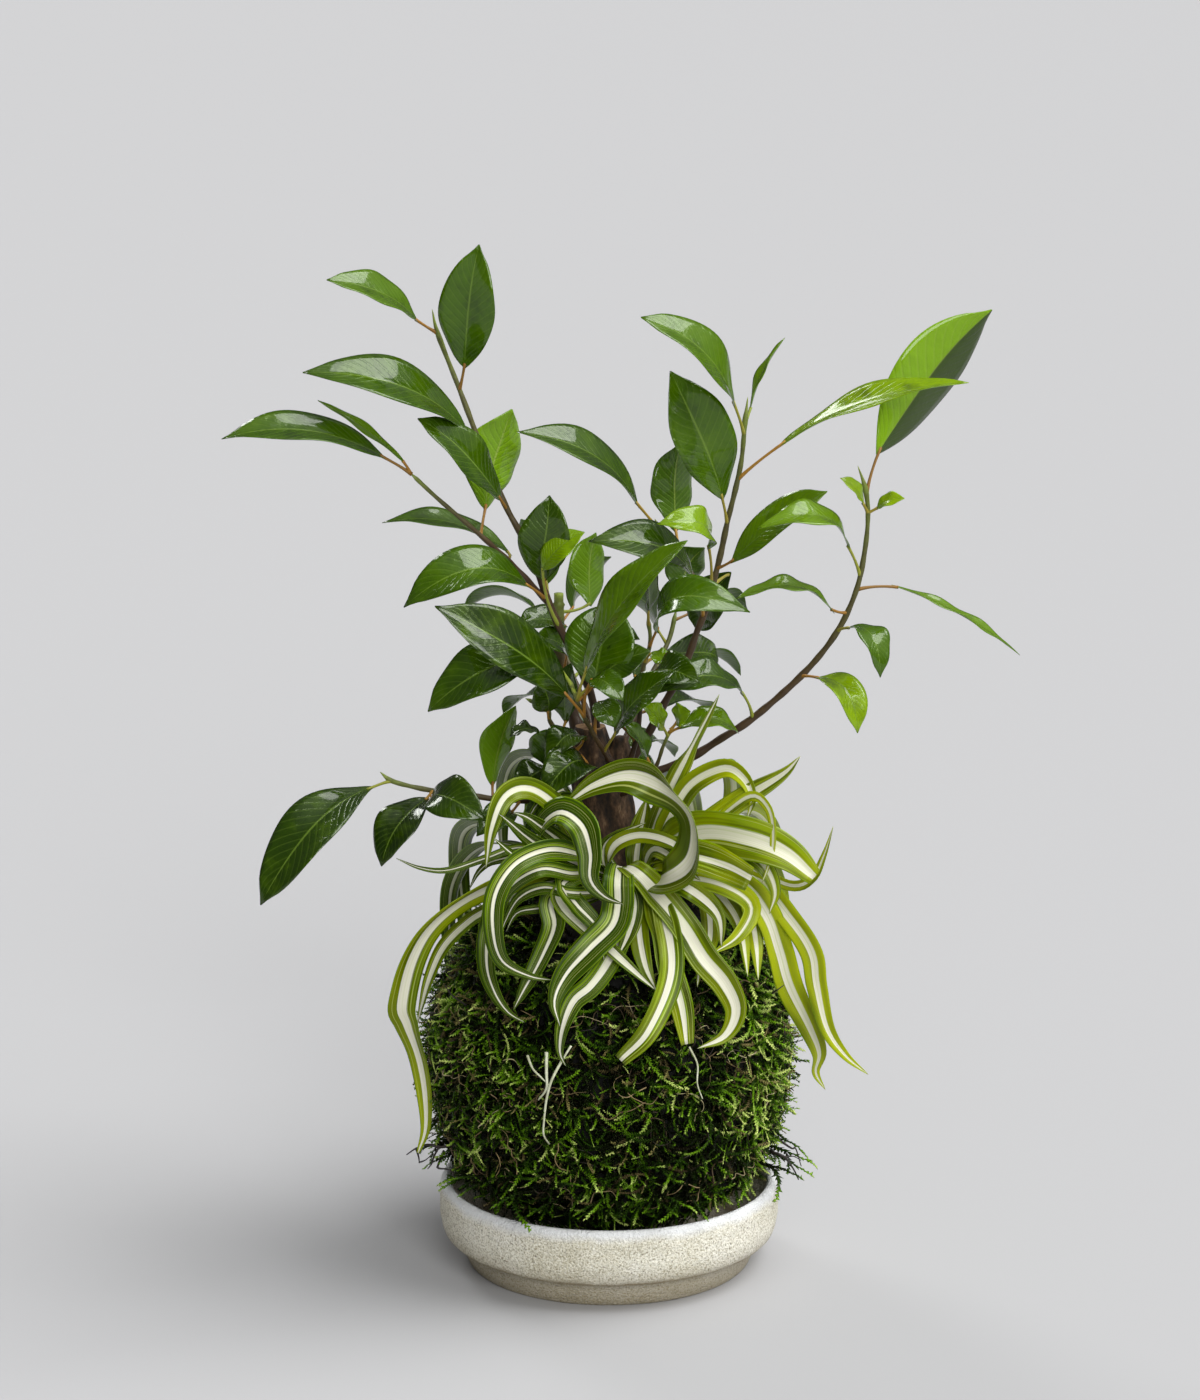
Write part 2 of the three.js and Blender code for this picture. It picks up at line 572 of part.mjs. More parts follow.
// A leaf from its stalk's foot, inside the twig, to the tip of its arched blade.
function ficusLeaf(foot, base, tip, width, arch, roll) {
  const axis = tip.clone().sub(base).normalize();
  const upward = axis.clone().cross(front).normalize();
  if (upward.z < 0) upward.negate();
  const angle = THREE.MathUtils.degToRad(roll);
  const face = squareTo(axis, front).multiplyScalar(Math.cos(angle)).addScaledVector(upward, Math.sin(angle));
  const side = axis.clone().cross(face).normalize();
  const bend = base.clone().add(tip).multiplyScalar(0.5).addScaledVector(face, 2 * arch);
  const rib = new THREE.QuadraticBezierCurve3(base, bend, tip);
  const fold = THREE.MathUtils.degToRad(leafFold);

  const stalkAlong = base.clone().sub(foot).normalize();
  const stalkSide = squareTo(stalkAlong, side);
  const stalkNormal = stalkSide.clone().cross(stalkAlong);
  const stalk = [0.02, 0.55, 0.96].map((s) =>
    bladeSection(foot.clone().lerp(base, s), stalkSide, stalkNormal, stalkRadius, 2 * stalkRadius, 0));
  const stations = width > smallLeafWidth ? leafStations : smallLeafStations;
  const sections = stations.map((s) => {
    const normal = side.clone().cross(rib.getTangent(s)).normalize();
    return bladeSection(rib.getPoint(s), side, normal, (width / 2) * leafOutline(s), leafThickness, fold);
  });
  return blade(foot, [...stalk, ...sections], tip);
}

const twigTube = ({ points, radius: [foot, tip] }, extra = 0) =>
  tube(spline(points), points.length + 1, (s) => foot + (tip - foot) * s + extra, 5);

function leafyTwig(twig) {
  const curve = spline(twig.points);
  const leaves = twig.leaves.map(([share, base, tip, width, arch, roll]) =>
    ficusLeaf(curve.getPoint(share), vector(base), vector(tip), width, arch, roll));
  return [twigTube(twig), ...leaves];
}

function leafyStem(name) {
  const own = Object.keys(branches).filter((branch) => branches[branch] === name);
  return joined([name, ...own].flatMap((each) => leafyTwig(twigs[each])));
}

// Lobed rings, as an old stump has.
function ringStack(rings, lobe, sides, extra = 0) {
  return loft(rings.map(([z, x, y, radius], i) =>
    Array.from({ length: sides }, (_, j) => {
      const turn = (2 * Math.PI * j) / sides;
      const r = radius * (1 + lobe * Math.sin(3 * turn + i)) + extra;
      return new THREE.Vector3(x + r * Math.cos(turn), y + r * Math.sin(turn), z);
    })));
}

const trunkSolid = (extra = 0) =>
  ringStack(trunkRings, 0.05, 11, extra).add(ringStack(sideStumpRings, 0.03, 8, extra));

function ficusTrunk(stemNames) {
  return stemNames.reduce((trunk, name) => trunk.subtract(twigTube(twigs[name], clearance)), trunkSolid());
}

// ---------------------------------------------------------------- spider plant

// Narrow at the crown, widest before the middle, drawn out to a point or cut off short.
function strapOutline(s, cut) {
  const foot = Math.min(1, 0.35 + 2 * s);
  const taper = s < 0.5 ? 1 : 1 - (1 - cut) * ((s - 0.5) / 0.5) ** 2.4;
  return foot * taper;
}

// How far a strap has rolled at the share s of its length, in radians.
function strapRoll(s, turn, twist, phase) {
  const { degToRad, smoothstep } = THREE.MathUtils;
  const toAndFro = strapFlutter * Math.sin(9 * s + phase);
  const pastMiddle = smoothstep(s, 0.58, 0.76);
  return degToRad((turn + toAndFro) * smoothstep(s, 0, 0.35) + twist * pastMiddle);
}

function strapLeaf({ width, points, turn = 0, twist = 0, cut = 0 }, index) {
  const curve = spline(points);
  const count = Math.max(5, Math.round(curve.getLength() / strapStep) + 1);
  const start = squareTo(curve.getTangentAt(0), up);
  const frames = framesAlong(curve, count, start);
  const fold = THREE.MathUtils.degToRad(strapFold);
  const sections = frames.slice(0, -1).map(({ centre, tangent, normal }, i) => {
    const s = i / (count - 1);
    const turned = normal.clone().applyAxisAngle(tangent, strapRoll(s, turn, twist, 2 * index));
    const side = tangent.clone().cross(turned);
    return bladeSection(centre, side, turned, (width / 2) * strapOutline(s, cut), strapThickness, fold);
  });
  const root = frames[0].centre.clone().addScaledVector(frames[0].tangent, -3);
  return blade(root, sections, frames.at(-1).centre);
}

const crownSolid = (extra = 0) =>
  ringStack(crownRings.map(([z, radius]) => [z, crown.x, crown.y, radius]), 0, 8, extra);

const spiderPlant = () => joined([crownSolid(), ...straps.map(strapLeaf)]);

// ---------------------------------------------------------------- ball

// The point of the ball's surface in a direction, set in by inset.
function ballPoint(direction, inset) {
  const { x, y, z } = direction;
  const flat = Math.hypot(x, y) / (ball.radius - inset);
  const tall = Math.abs(z) / (ball.halfHeight - inset);
  const scale = (flat ** ball.power + tall ** ball.power) ** (-1 / ball.power);
  return new THREE.Vector3(x * scale, y * scale, ball.centreZ + z * scale);
}

// Lumps and tufts of the moss, fading out towards the flat spot that the ball rests on.
function mossRelief({ x, y, z }) {
  const lumps = Math.sin(5.1 * x + 3.3 * z + 0.4) * Math.sin(4.7 * y - 2.9 * z + 1.3)
    + 0.5 * Math.sin(8.3 * y + 7.4 * x);
  const scatter = 43.7 * Math.sin(91.7 * x + 53.3 * y + 37.1 * z);
  const tuft = scatter - Math.floor(scatter);
  const fade = THREE.MathUtils.smoothstep(z, -0.93, -0.75);
  return (relief.lump * lumps + relief.tuft * (tuft - 0.3)) * fade;
}

function ballSolid(across, high, insetAt) {
  const geometry = new THREE.SphereGeometry(1, across, high);
  geometry.rotateX(Math.PI / 2);
  const place = geometry.attributes.position;
  const direction = new THREE.Vector3();
  for (let i = 0; i < place.count; i++) {
    direction.fromBufferAttribute(place, i).normalize();
    const p = ballPoint(direction, insetAt(direction));
    place.setXYZ(i, p.x, p.y, p.z);
  }
  return solidFromGeometry(geometry);
}

function openingCutter() {
  const geometry = new THREE.CylinderGeometry(opening.radius, opening.radius, 80, 24);
  geometry.rotateX(Math.PI / 2);
  geometry.translate(opening.x, opening.y, ball.centreZ + 62);
  return solidFromGeometry(geometry);
}

function mossWrap() {
  return ballSolid(32, 17, (direction) => -mossRelief(direction))
    .subtract(ballSolid(20, 11, () => ball.wrap))
    .subtract(openingCutter());
}

function soilBall() {
  return ballSolid(20, 11, () => ball.wrap + clearance)
    .subtract(trunkSolid(clearance))
    .subtract(crownSolid(clearance));
}

// ---------------------------------------------------------------- saucer

function saucerSolid() {
  const { radius, height, footTop, footRadius, footBottomRadius, floor, innerRadius } = saucer;
  const profile = [
    [0, 0], [footBottomRadius, 0], [footRadius, footTop - 1], [footRadius + 1.5, footTop],
    [radius - 3, footTop + 1], [radius - 1, footTop + 4], [radius, footTop + 9], [radius, height - 5],
    [radius - 0.8, height - 1.5], [radius - 2.4, height], [innerRadius, height - 1.4],
    [innerRadius - 1, height - 8], [innerRadius - 5, floor + 6], [innerRadius - 13, floor], [0, floor],
  ];
  return solidFromGeometry(new THREE.LatheGeometry(profile.map(([x, z]) => new THREE.Vector2(x, z)), 36)
    .rotateX(Math.PI / 2));
}

// ---------------------------------------------------------------- assembly

const group = new THREE.Group();

function addPiece(name, solid, color, roughness) {
  const material = new THREE.MeshStandardMaterial({ color, roughness, metalness: 0 });
  const mesh = new THREE.Mesh(geometryFrom(solid), material);
  mesh.name = name;
  group.add(mesh);
}

const stemNames = Object.keys(twigs).filter((name) => !(name in branches));

addPiece('saucer', saucerSolid(), '#d9d5c6', 0.8);
addPiece('soil_ball', soilBall(), '#2b1d12', 0.95);
addPiece('moss_wrap', mossWrap(), '#35570f', 0.95);
addPiece('ficus_trunk', ficusTrunk(stemNames), '#5a3a26', 0.85);
for (const name of stemNames) addPiece(name, leafyStem(name), '#2d5c14', 0.35);
addPiece('spider_plant', spiderPlant(), '#7fa43a', 0.45);

export default group;
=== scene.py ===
"""A moss ball (kokedama) with a small ficus stump and a spider plant in a stoneware saucer.

Places and sizes are in millimetres in the model's own frame: +Z up, the front towards -Y, the
origin in the middle of the saucer's underside. They become metres when a mesh is made.
"""
import math

import bpy
import numpy as np
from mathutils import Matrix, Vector


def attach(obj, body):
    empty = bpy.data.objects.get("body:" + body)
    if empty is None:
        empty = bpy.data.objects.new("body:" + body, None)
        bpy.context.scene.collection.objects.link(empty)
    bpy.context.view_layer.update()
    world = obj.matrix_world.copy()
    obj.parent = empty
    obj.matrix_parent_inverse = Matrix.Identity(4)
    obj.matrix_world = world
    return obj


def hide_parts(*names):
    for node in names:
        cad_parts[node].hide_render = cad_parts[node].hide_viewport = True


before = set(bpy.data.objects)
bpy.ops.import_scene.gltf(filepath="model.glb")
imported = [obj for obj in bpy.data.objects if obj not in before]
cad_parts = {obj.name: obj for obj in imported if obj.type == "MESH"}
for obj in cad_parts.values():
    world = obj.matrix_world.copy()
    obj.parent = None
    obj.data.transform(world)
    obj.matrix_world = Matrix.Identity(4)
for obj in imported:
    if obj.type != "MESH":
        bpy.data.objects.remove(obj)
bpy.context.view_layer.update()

MM = 0.001
UP = np.array([0.0, 0.0, 1.0])
FRONT = np.array([0.0, -1.0, 0.0])

# ---------------------------------------------------------------- driving dimensions

SAUCER = {"radius": 65, "height": 33, "foot_top": 10, "foot": 58, "foot_bottom": 54.5, "floor": 8}
SAUCER["inner"] = SAUCER["radius"] - 4.2
CLEARANCE = 0.3
# The ball is a superellipsoid: a little fuller than an ellipsoid low down and at its shoulders.
BALL = {"radius": 70, "half_height": 73, "power": 2.12}
BALL_Z = SAUCER["floor"] + CLEARANCE + BALL["half_height"]
OPENING = {"x": 2, "y": -12, "radius": 31}
MOSS_DEPTH = 5.5  # from the ends of the shoots down to their feet

LEAF_FOLD = math.radians(16)
LEAF_THICKNESS = 0.45
STRAP_FOLD = math.radians(24)
STRAP_THICKNESS = 0.4
STRAP_FLUTTER = 14  # degrees a strap rolls to and fro along its length
STRAP_STEP = 1.8  # mm between the sections of a strap
STALK_RADIUS = 0.68
EDGE = 0.12  # a blade's least half width, at its ends

# Rings of the stump: height, centre x, centre y, radius.
TRUNK_RINGS = [
    [128, -2, 1, 8], [146, -2, 1, 11.5], [162, -2, 0, 11.8], [180, -2.5, 0, 11.2],
    [194, -3.5, 0, 10.6], [202, -6.5, 0, 7.6], [209.5, -7, 0, 5.6],
]
SIDE_STUMP_RINGS = [[176, 1, -1, 6.5], [192, 3, -2, 5.4], [201, 3.8, -2, 4.2], [206, 4, -2, 2.4]]

# Ficus twigs, as in the solids: points from the foot up, radius at foot and tip, and leaves of
# [share along the twig, base of the blade, tip, width, arch, roll].
TWIGS = {
    "stem_tall_left": {"radius": [1.7, 0.8], "points": [
        [-4, 0, 200], [-7, -3, 223], [-17, -4, 245], [-23, -4, 259], [-30, -3, 278], [-38, -2, 293],
        [-46, 0, 312], [-55, 2, 336], [-63, 3, 357], [-65, 3, 366],
    ], "leaves": [
        [0.89, [-70, 2, 361], [-102, -22, 380], 17, 5, 66],
        [0.78, [-53, -3, 345], [-47, -14, 392], 22, 4, 15],
        [0.67, [-52, -3, 321], [-111, -26, 347], 23, 10, 60],
        [0.55, [-40, -4, 296], [-70, -18, 329], 20, 4, 56],
        [0.34, [-24, -10, 267], [-22, -14, 300], 20, 3, 12],
        [0.24, [-25, -15, 272], [-9, -18, 287], 13, 3, 45],
    ]},
    "branch_left": {"radius": [1.2, 0.7], "points": [
        [-23, -4, 258], [-36, -8, 273], [-49, -12, 286], [-63, -15, 299], [-73, -17, 309],
    ], "leaves": [
        [0.98, [-81, -19, 314], [-140, -34, 324], 20, 8, 68],
        [1.0, [-74, -18, 312], [-106, -20, 336], 5, 2, 60],
        [0.47, [-46, 4, 291], [-36, 10, 328], 24, 3, 150],
        [0.29, [-36, 2, 274], [-84, -6, 288], 15, 7, 76],
        [0.02, [-29, -14, 265], [-75, -34, 262], 22, 15, 55],
    ]},
    "stem_stub": {"radius": [2.6, 2.0], "points": [
        [-9, 4, 200], [-14, 8, 213], [-17, 12, 225], [-19, 14, 234], [-19, 16, 246], [-19, 16, 257],
    ], "leaves": [
        [0.69, [-16, 12, 245], [-34, -2, 249], 14, 3, 66],
        [0.45, [-16, 7, 236], [-28, -7, 245], 12, 3, 62],
        [0.87, [-7, 20, 251], [-5, 28, 278], 17, 3, 148],
    ]},
    "stem_front": {"radius": [1.1, 0.7], "points": [
        [1, -6, 195], [-2, -17, 204], [-5, -21, 210], [-10, -27, 221], [-12, -29, 227], [-15, -30, 235],
    ], "leaves": [
        [0.57, [-15, -36, 229], [-63, -54, 267], 24, 6, 46],
        [0.78, [-9, -37, 238], [28, -54, 291], 22, 6, 63],
        [0.78, [-6, -30, 231], [2, -24, 262], 28, 3, 20],
        [0.8, [-4, -31, 235], [15, -34, 246], 15, 3, 42],
        [0.57, [-7, -38, 236], [5, -50, 231], 12, 4, 50],
        [0.42, [-4, -25, 225], [2, -33, 217], 11, 3, 20],
        [0.2, [2, -25, 212], [24, -40, 240], 17, 4, 60],
        [0.78, [-22, -33, 245], [-66, -46, 226], 22, 9, 42],
    ]},
    "stem_low_left": {"radius": [1.1, 0.7], "points": [
        [-7, -5, 195], [-18, -12, 209], [-22, -15, 215], [-23, -17, 220], [-31, -20, 225],
    ], "leaves": [
        [0.57, [-23, -17, 219], [-25, -19, 232], 15, 2, 30],
        [0.27, [-16, -10, 213], [-14, -9, 236], 14, 2, 42],
        [0.2, [-24, -14, 198], [-20, -21, 214], 15, 2, 25],
        [0.12, [-9, -14, 207], [-23, -28, 201], 14, 8, 58],
        [0.34, [-25, -17, 210], [-37, -20, 210], 10, 3, 80],
        [0.09, [-7, -18, 197], [-25, -38, 191], 18, 11, 50],
        [0.15, [-23, -12, 196], [-34, -14, 189], 14, 3, 32],
    ]},
    "stem_left": {"radius": [1.5, 0.8], "points": [
        [-2, -2, 177], [-18, -5, 181], [-33, -8, 183], [-43, -10, 184], [-56, -13, 187], [-67, -16, 189],
        [-80, -19, 193], [-85, -20, 197],
    ], "leaves": [
        [0.87, [-87, -22, 192], [-128, -46, 153], 24, 10, 44],
        [0.7, [-67, -20, 187], [-84, -36, 165], 18, 6, 42],
        [0.64, [-66, -24, 188], [-45, -46, 185], 18, 8, 40],
        [0.43, [-44, 4, 185], [-35, 2, 217], 16, 3, 142],
        [0.29, [-36, -14, 180], [-49, -34, 176], 12, 4, 45],
        [0.21, [-24, -14, 180], [-31, -36, 176], 13, 5, 30],
        [0.15, [-18, -8, 177], [-18, -16, 167], 12, 3, 25],
    ]},
    "stem_tall_right": {"radius": [1.7, 0.8], "points": [
        [5, 3, 190], [14, 6, 204], [21, 8, 217], [28, 9, 230], [33, 10, 244], [36, 10, 252], [41, 10, 271],
        [44, 9, 286], [47, 8, 299], [49, 7, 310], [50, 6, 323], [51, 6, 333],
    ], "leaves": [
        [0.88, [46, 0, 330], [11, -18, 366], 21, 8, 62],
        [0.63, [42, 3, 295], [22, -8, 345], 26, 3, 28],
        [0.9, [52, 10, 327], [65, 14, 354], 8, 2, 80],
        [0.75, [62, 2, 315], [130, -24, 343], 18, 6, 76],
        [0.53, [45, 3, 271], [80, -12, 301], 17, 3, 56],
        [0.49, [36, -5, 278], [17, -24, 291], 14, 10, 60],
        [0.5, [46, 22, 264], [33, 34, 239], 18, 3, 36],
        [0.43, [31, -4, 266], [-8, -26, 285], 20, 10, 58],
    ]},
    "branch_back": {"radius": [0.9, 0.6], "points": [
        [37, 10, 258], [30, 14, 266], [25, 17, 272], [20, 18, 279], [17, 18, 285],
    ], "leaves": [
        [0.36, [25, 22, 279], [27, 26, 313], 19, 3, 150],
        [0.78, [11, 12, 290], [-34, -12, 323], 20, 9, 68],
    ]},
    "stem_arch_right": {"radius": [1.7, 0.8], "points": [
        [6, 0, 186], [17, -1, 192], [29, -2, 197], [41, -3, 205], [54, -4, 214], [72, -6, 231],
        [84, -8, 247], [91, -9, 263], [94, -9, 278], [95, -9, 291], [94, -9, 301], [91, -9, 310],
    ], "leaves": [
        [0.36, [50, -12, 224], [17, -30, 229], 18, 9, 66],
        [0.67, [88, -14, 279], [53, -34, 291], 14, 12, 68],
        [0.59, [83, -12, 255], [46, -28, 264], 10, 9, 76],
        [0.64, [104, -7, 265], [153, -2, 237], 7, 3, 78],
        [0.55, [87, -14, 250], [99, -30, 235], 13, 9, 50],
        [0.45, [76, -13, 231], [91, -30, 214], 15, 9, 50],
        [0.89, [98, -4, 313], [141, 10, 365], 30, 4, 150],
        [0.83, [93, -12, 296], [84, -18, 307], 7, 2, 60],
        [0.83, [98, -10, 294], [108, -16, 299], 7, 2, 60],
    ]},
    "stem_mid": {"radius": [1.2, 0.7], "points": [
        [3, -4, 189], [8, -8, 199], [11, -10, 214], [12, -11, 232], [15, -12, 244], [14, -13, 255],
    ], "leaves": [
        [0.92, [14, -15, 256], [11, -20, 276], 12, 2, 60],
        [0.78, [18, -18, 249], [51, -42, 262], 18, 17, 56],
        [0.67, [15, -16, 241], [23, -20, 238], 7, 1, 40],
        [0.66, [20, 14, 234], [42, 46, 225], 15, 4, 48],
        [0.57, [16, -18, 234], [33, -34, 234], 15, 5, 46],
        [0.3, [5, -12, 212], [-4, -8, 219], 12, 2, 40],
    ]},
    "stem_low_right": {"radius": [1.0, 0.6], "points": [
        [1, -6, 183], [11, -13, 190], [17, -14, 197], [20, -16, 206], [23, -17, 213],
    ], "leaves": [
        [0.89, [20, -19, 213], [12, -24, 223], 10, 2, 50],
        [0.97, [25, -17, 215], [30, -20, 220], 10, 2, 50],
        [0.94, [25, -19, 213], [48, -14, 210], 13, 6, 66],
        [0.48, [14, -18, 201], [5, -18, 215], 12, 2, 68],
    ]},
    "stem_back_left": {"radius": [1.5, 0.8], "points": [
        [-4, 6, 194], [-8, 24, 208], [-15, 38, 223], [-20, 48, 237], [-24, 54, 248],
    ], "leaves": [
        [0.96, [-24, 56, 252], [-34, 60, 277], 20, 4, 150],
        [0.87, [-28, 56, 242], [-57, 66, 240], 21, 6, 110],
        [0.75, [-14, 56, 242], [1, 66, 261], 20, 5, 130],
        [0.57, [-23, 44, 229], [-51, 56, 219], 21, 6, 105],
        [0.45, [-7, 46, 223], [12, 62, 229], 20, 6, 120],
        [0.29, [-16, 32, 211], [-41, 46, 202], 20, 6, 100],
    ]},
    "stem_back_right": {"radius": [1.5, 0.8], "points": [
        [1, 6, 192], [9, 26, 205], [16, 42, 219], [23, 52, 231], [26, 58, 242],
    ], "leaves": [
        [0.98, [27, 60, 247], [37, 64, 265], 19, 4, 150],
        [0.91, [31, 60, 239], [54, 70, 239], 20, 6, 110],
        [0.72, [18, 58, 234], [5, 68, 247], 20, 5, 130],
        [0.56, [26, 46, 223], [51, 56, 216], 21, 6, 105],
        [0.41, [10, 46, 217], [-4, 66, 218], 19, 6, 120],
        [0.29, [19, 34, 208], [41, 46, 200], 20, 6, 100],
    ]},
    "stem_back_low": {"radius": [1.3, 0.8], "points": [
        [-2, 6, 179], [-1, 24, 183], [-4, 44, 183], [-2, 62, 185],
    ], "leaves": [
        [0.96, [-2, 66, 187], [-2, 104, 183], 20, 8, 90],
        [0.84, [-9, 60, 185], [-31, 78, 177], 19, 6, 95],
        [0.84, [4, 60, 185], [26, 78, 178], 19, 6, 95],
        [0.54, [-10, 44, 181], [-27, 64, 168], 18, 7, 95],
        [0.45, [5, 44, 180], [22, 64, 168], 18, 7, 95],
    ]},
}
BRANCHES = {"branch_left": "stem_tall_left", "branch_back": "stem_tall_right"}

# Directions, in degrees, in which stray moss shoots reach over the saucer's lip at the front.
RIM_SHOOTS = [-168, -150, -146, -139, -123, -109, -106, -92, -76, -72, -63, -41, -24, -12]

# How light some leaves are painted: young ones, and, as painted light, those that the light shines
# through: twig, place in its list.
BRIGHT_LEAVES = {
    ("stem_tall_left", 5): 0.8, ("branch_left", 2): 0.9, ("stem_stub", 2): 0.75, ("stem_front", 1): 0.6,
    ("stem_left", 3): 0.75, ("stem_tall_right", 0): 0.55, ("stem_tall_right", 2): 0.75,
    ("stem_tall_right", 3): 0.85, ("stem_tall_right", 4): 0.65, ("stem_tall_right", 5): 0.8,
    ("stem_arch_right", 1): 0.7, ("stem_arch_right", 2): 0.65, ("stem_arch_right", 3): 0.65,
    ("stem_arch_right", 5): 0.85, ("stem_arch_right", 6): 1.0, ("stem_arch_right", 7): 0.9,
    ("stem_arch_right", 8): 0.9, ("stem_mid", 2): 0.75, ("stem_low_right", 0): 0.8,
    ("stem_low_right", 1): 0.8, ("stem_low_right", 2): 0.7,
}

# Spider plant leaves on the shaded side that catch the light, with how much painted light they get: place
# in STRAPS.
BRIGHT_STRAPS = {26: 0.7, 1: 0.35, 27: 0.2}


def strap(width, *points, turn=0, twist=0, cut=0):
    """A spider plant leaf: its width, points from the crown out and its turn in degrees.

    twist turns it on past its middle, and cut is how broad its end is left, as a share.
    """
    return {"width": width, "points": points, "turn": turn, "twist": twist, "cut": cut}


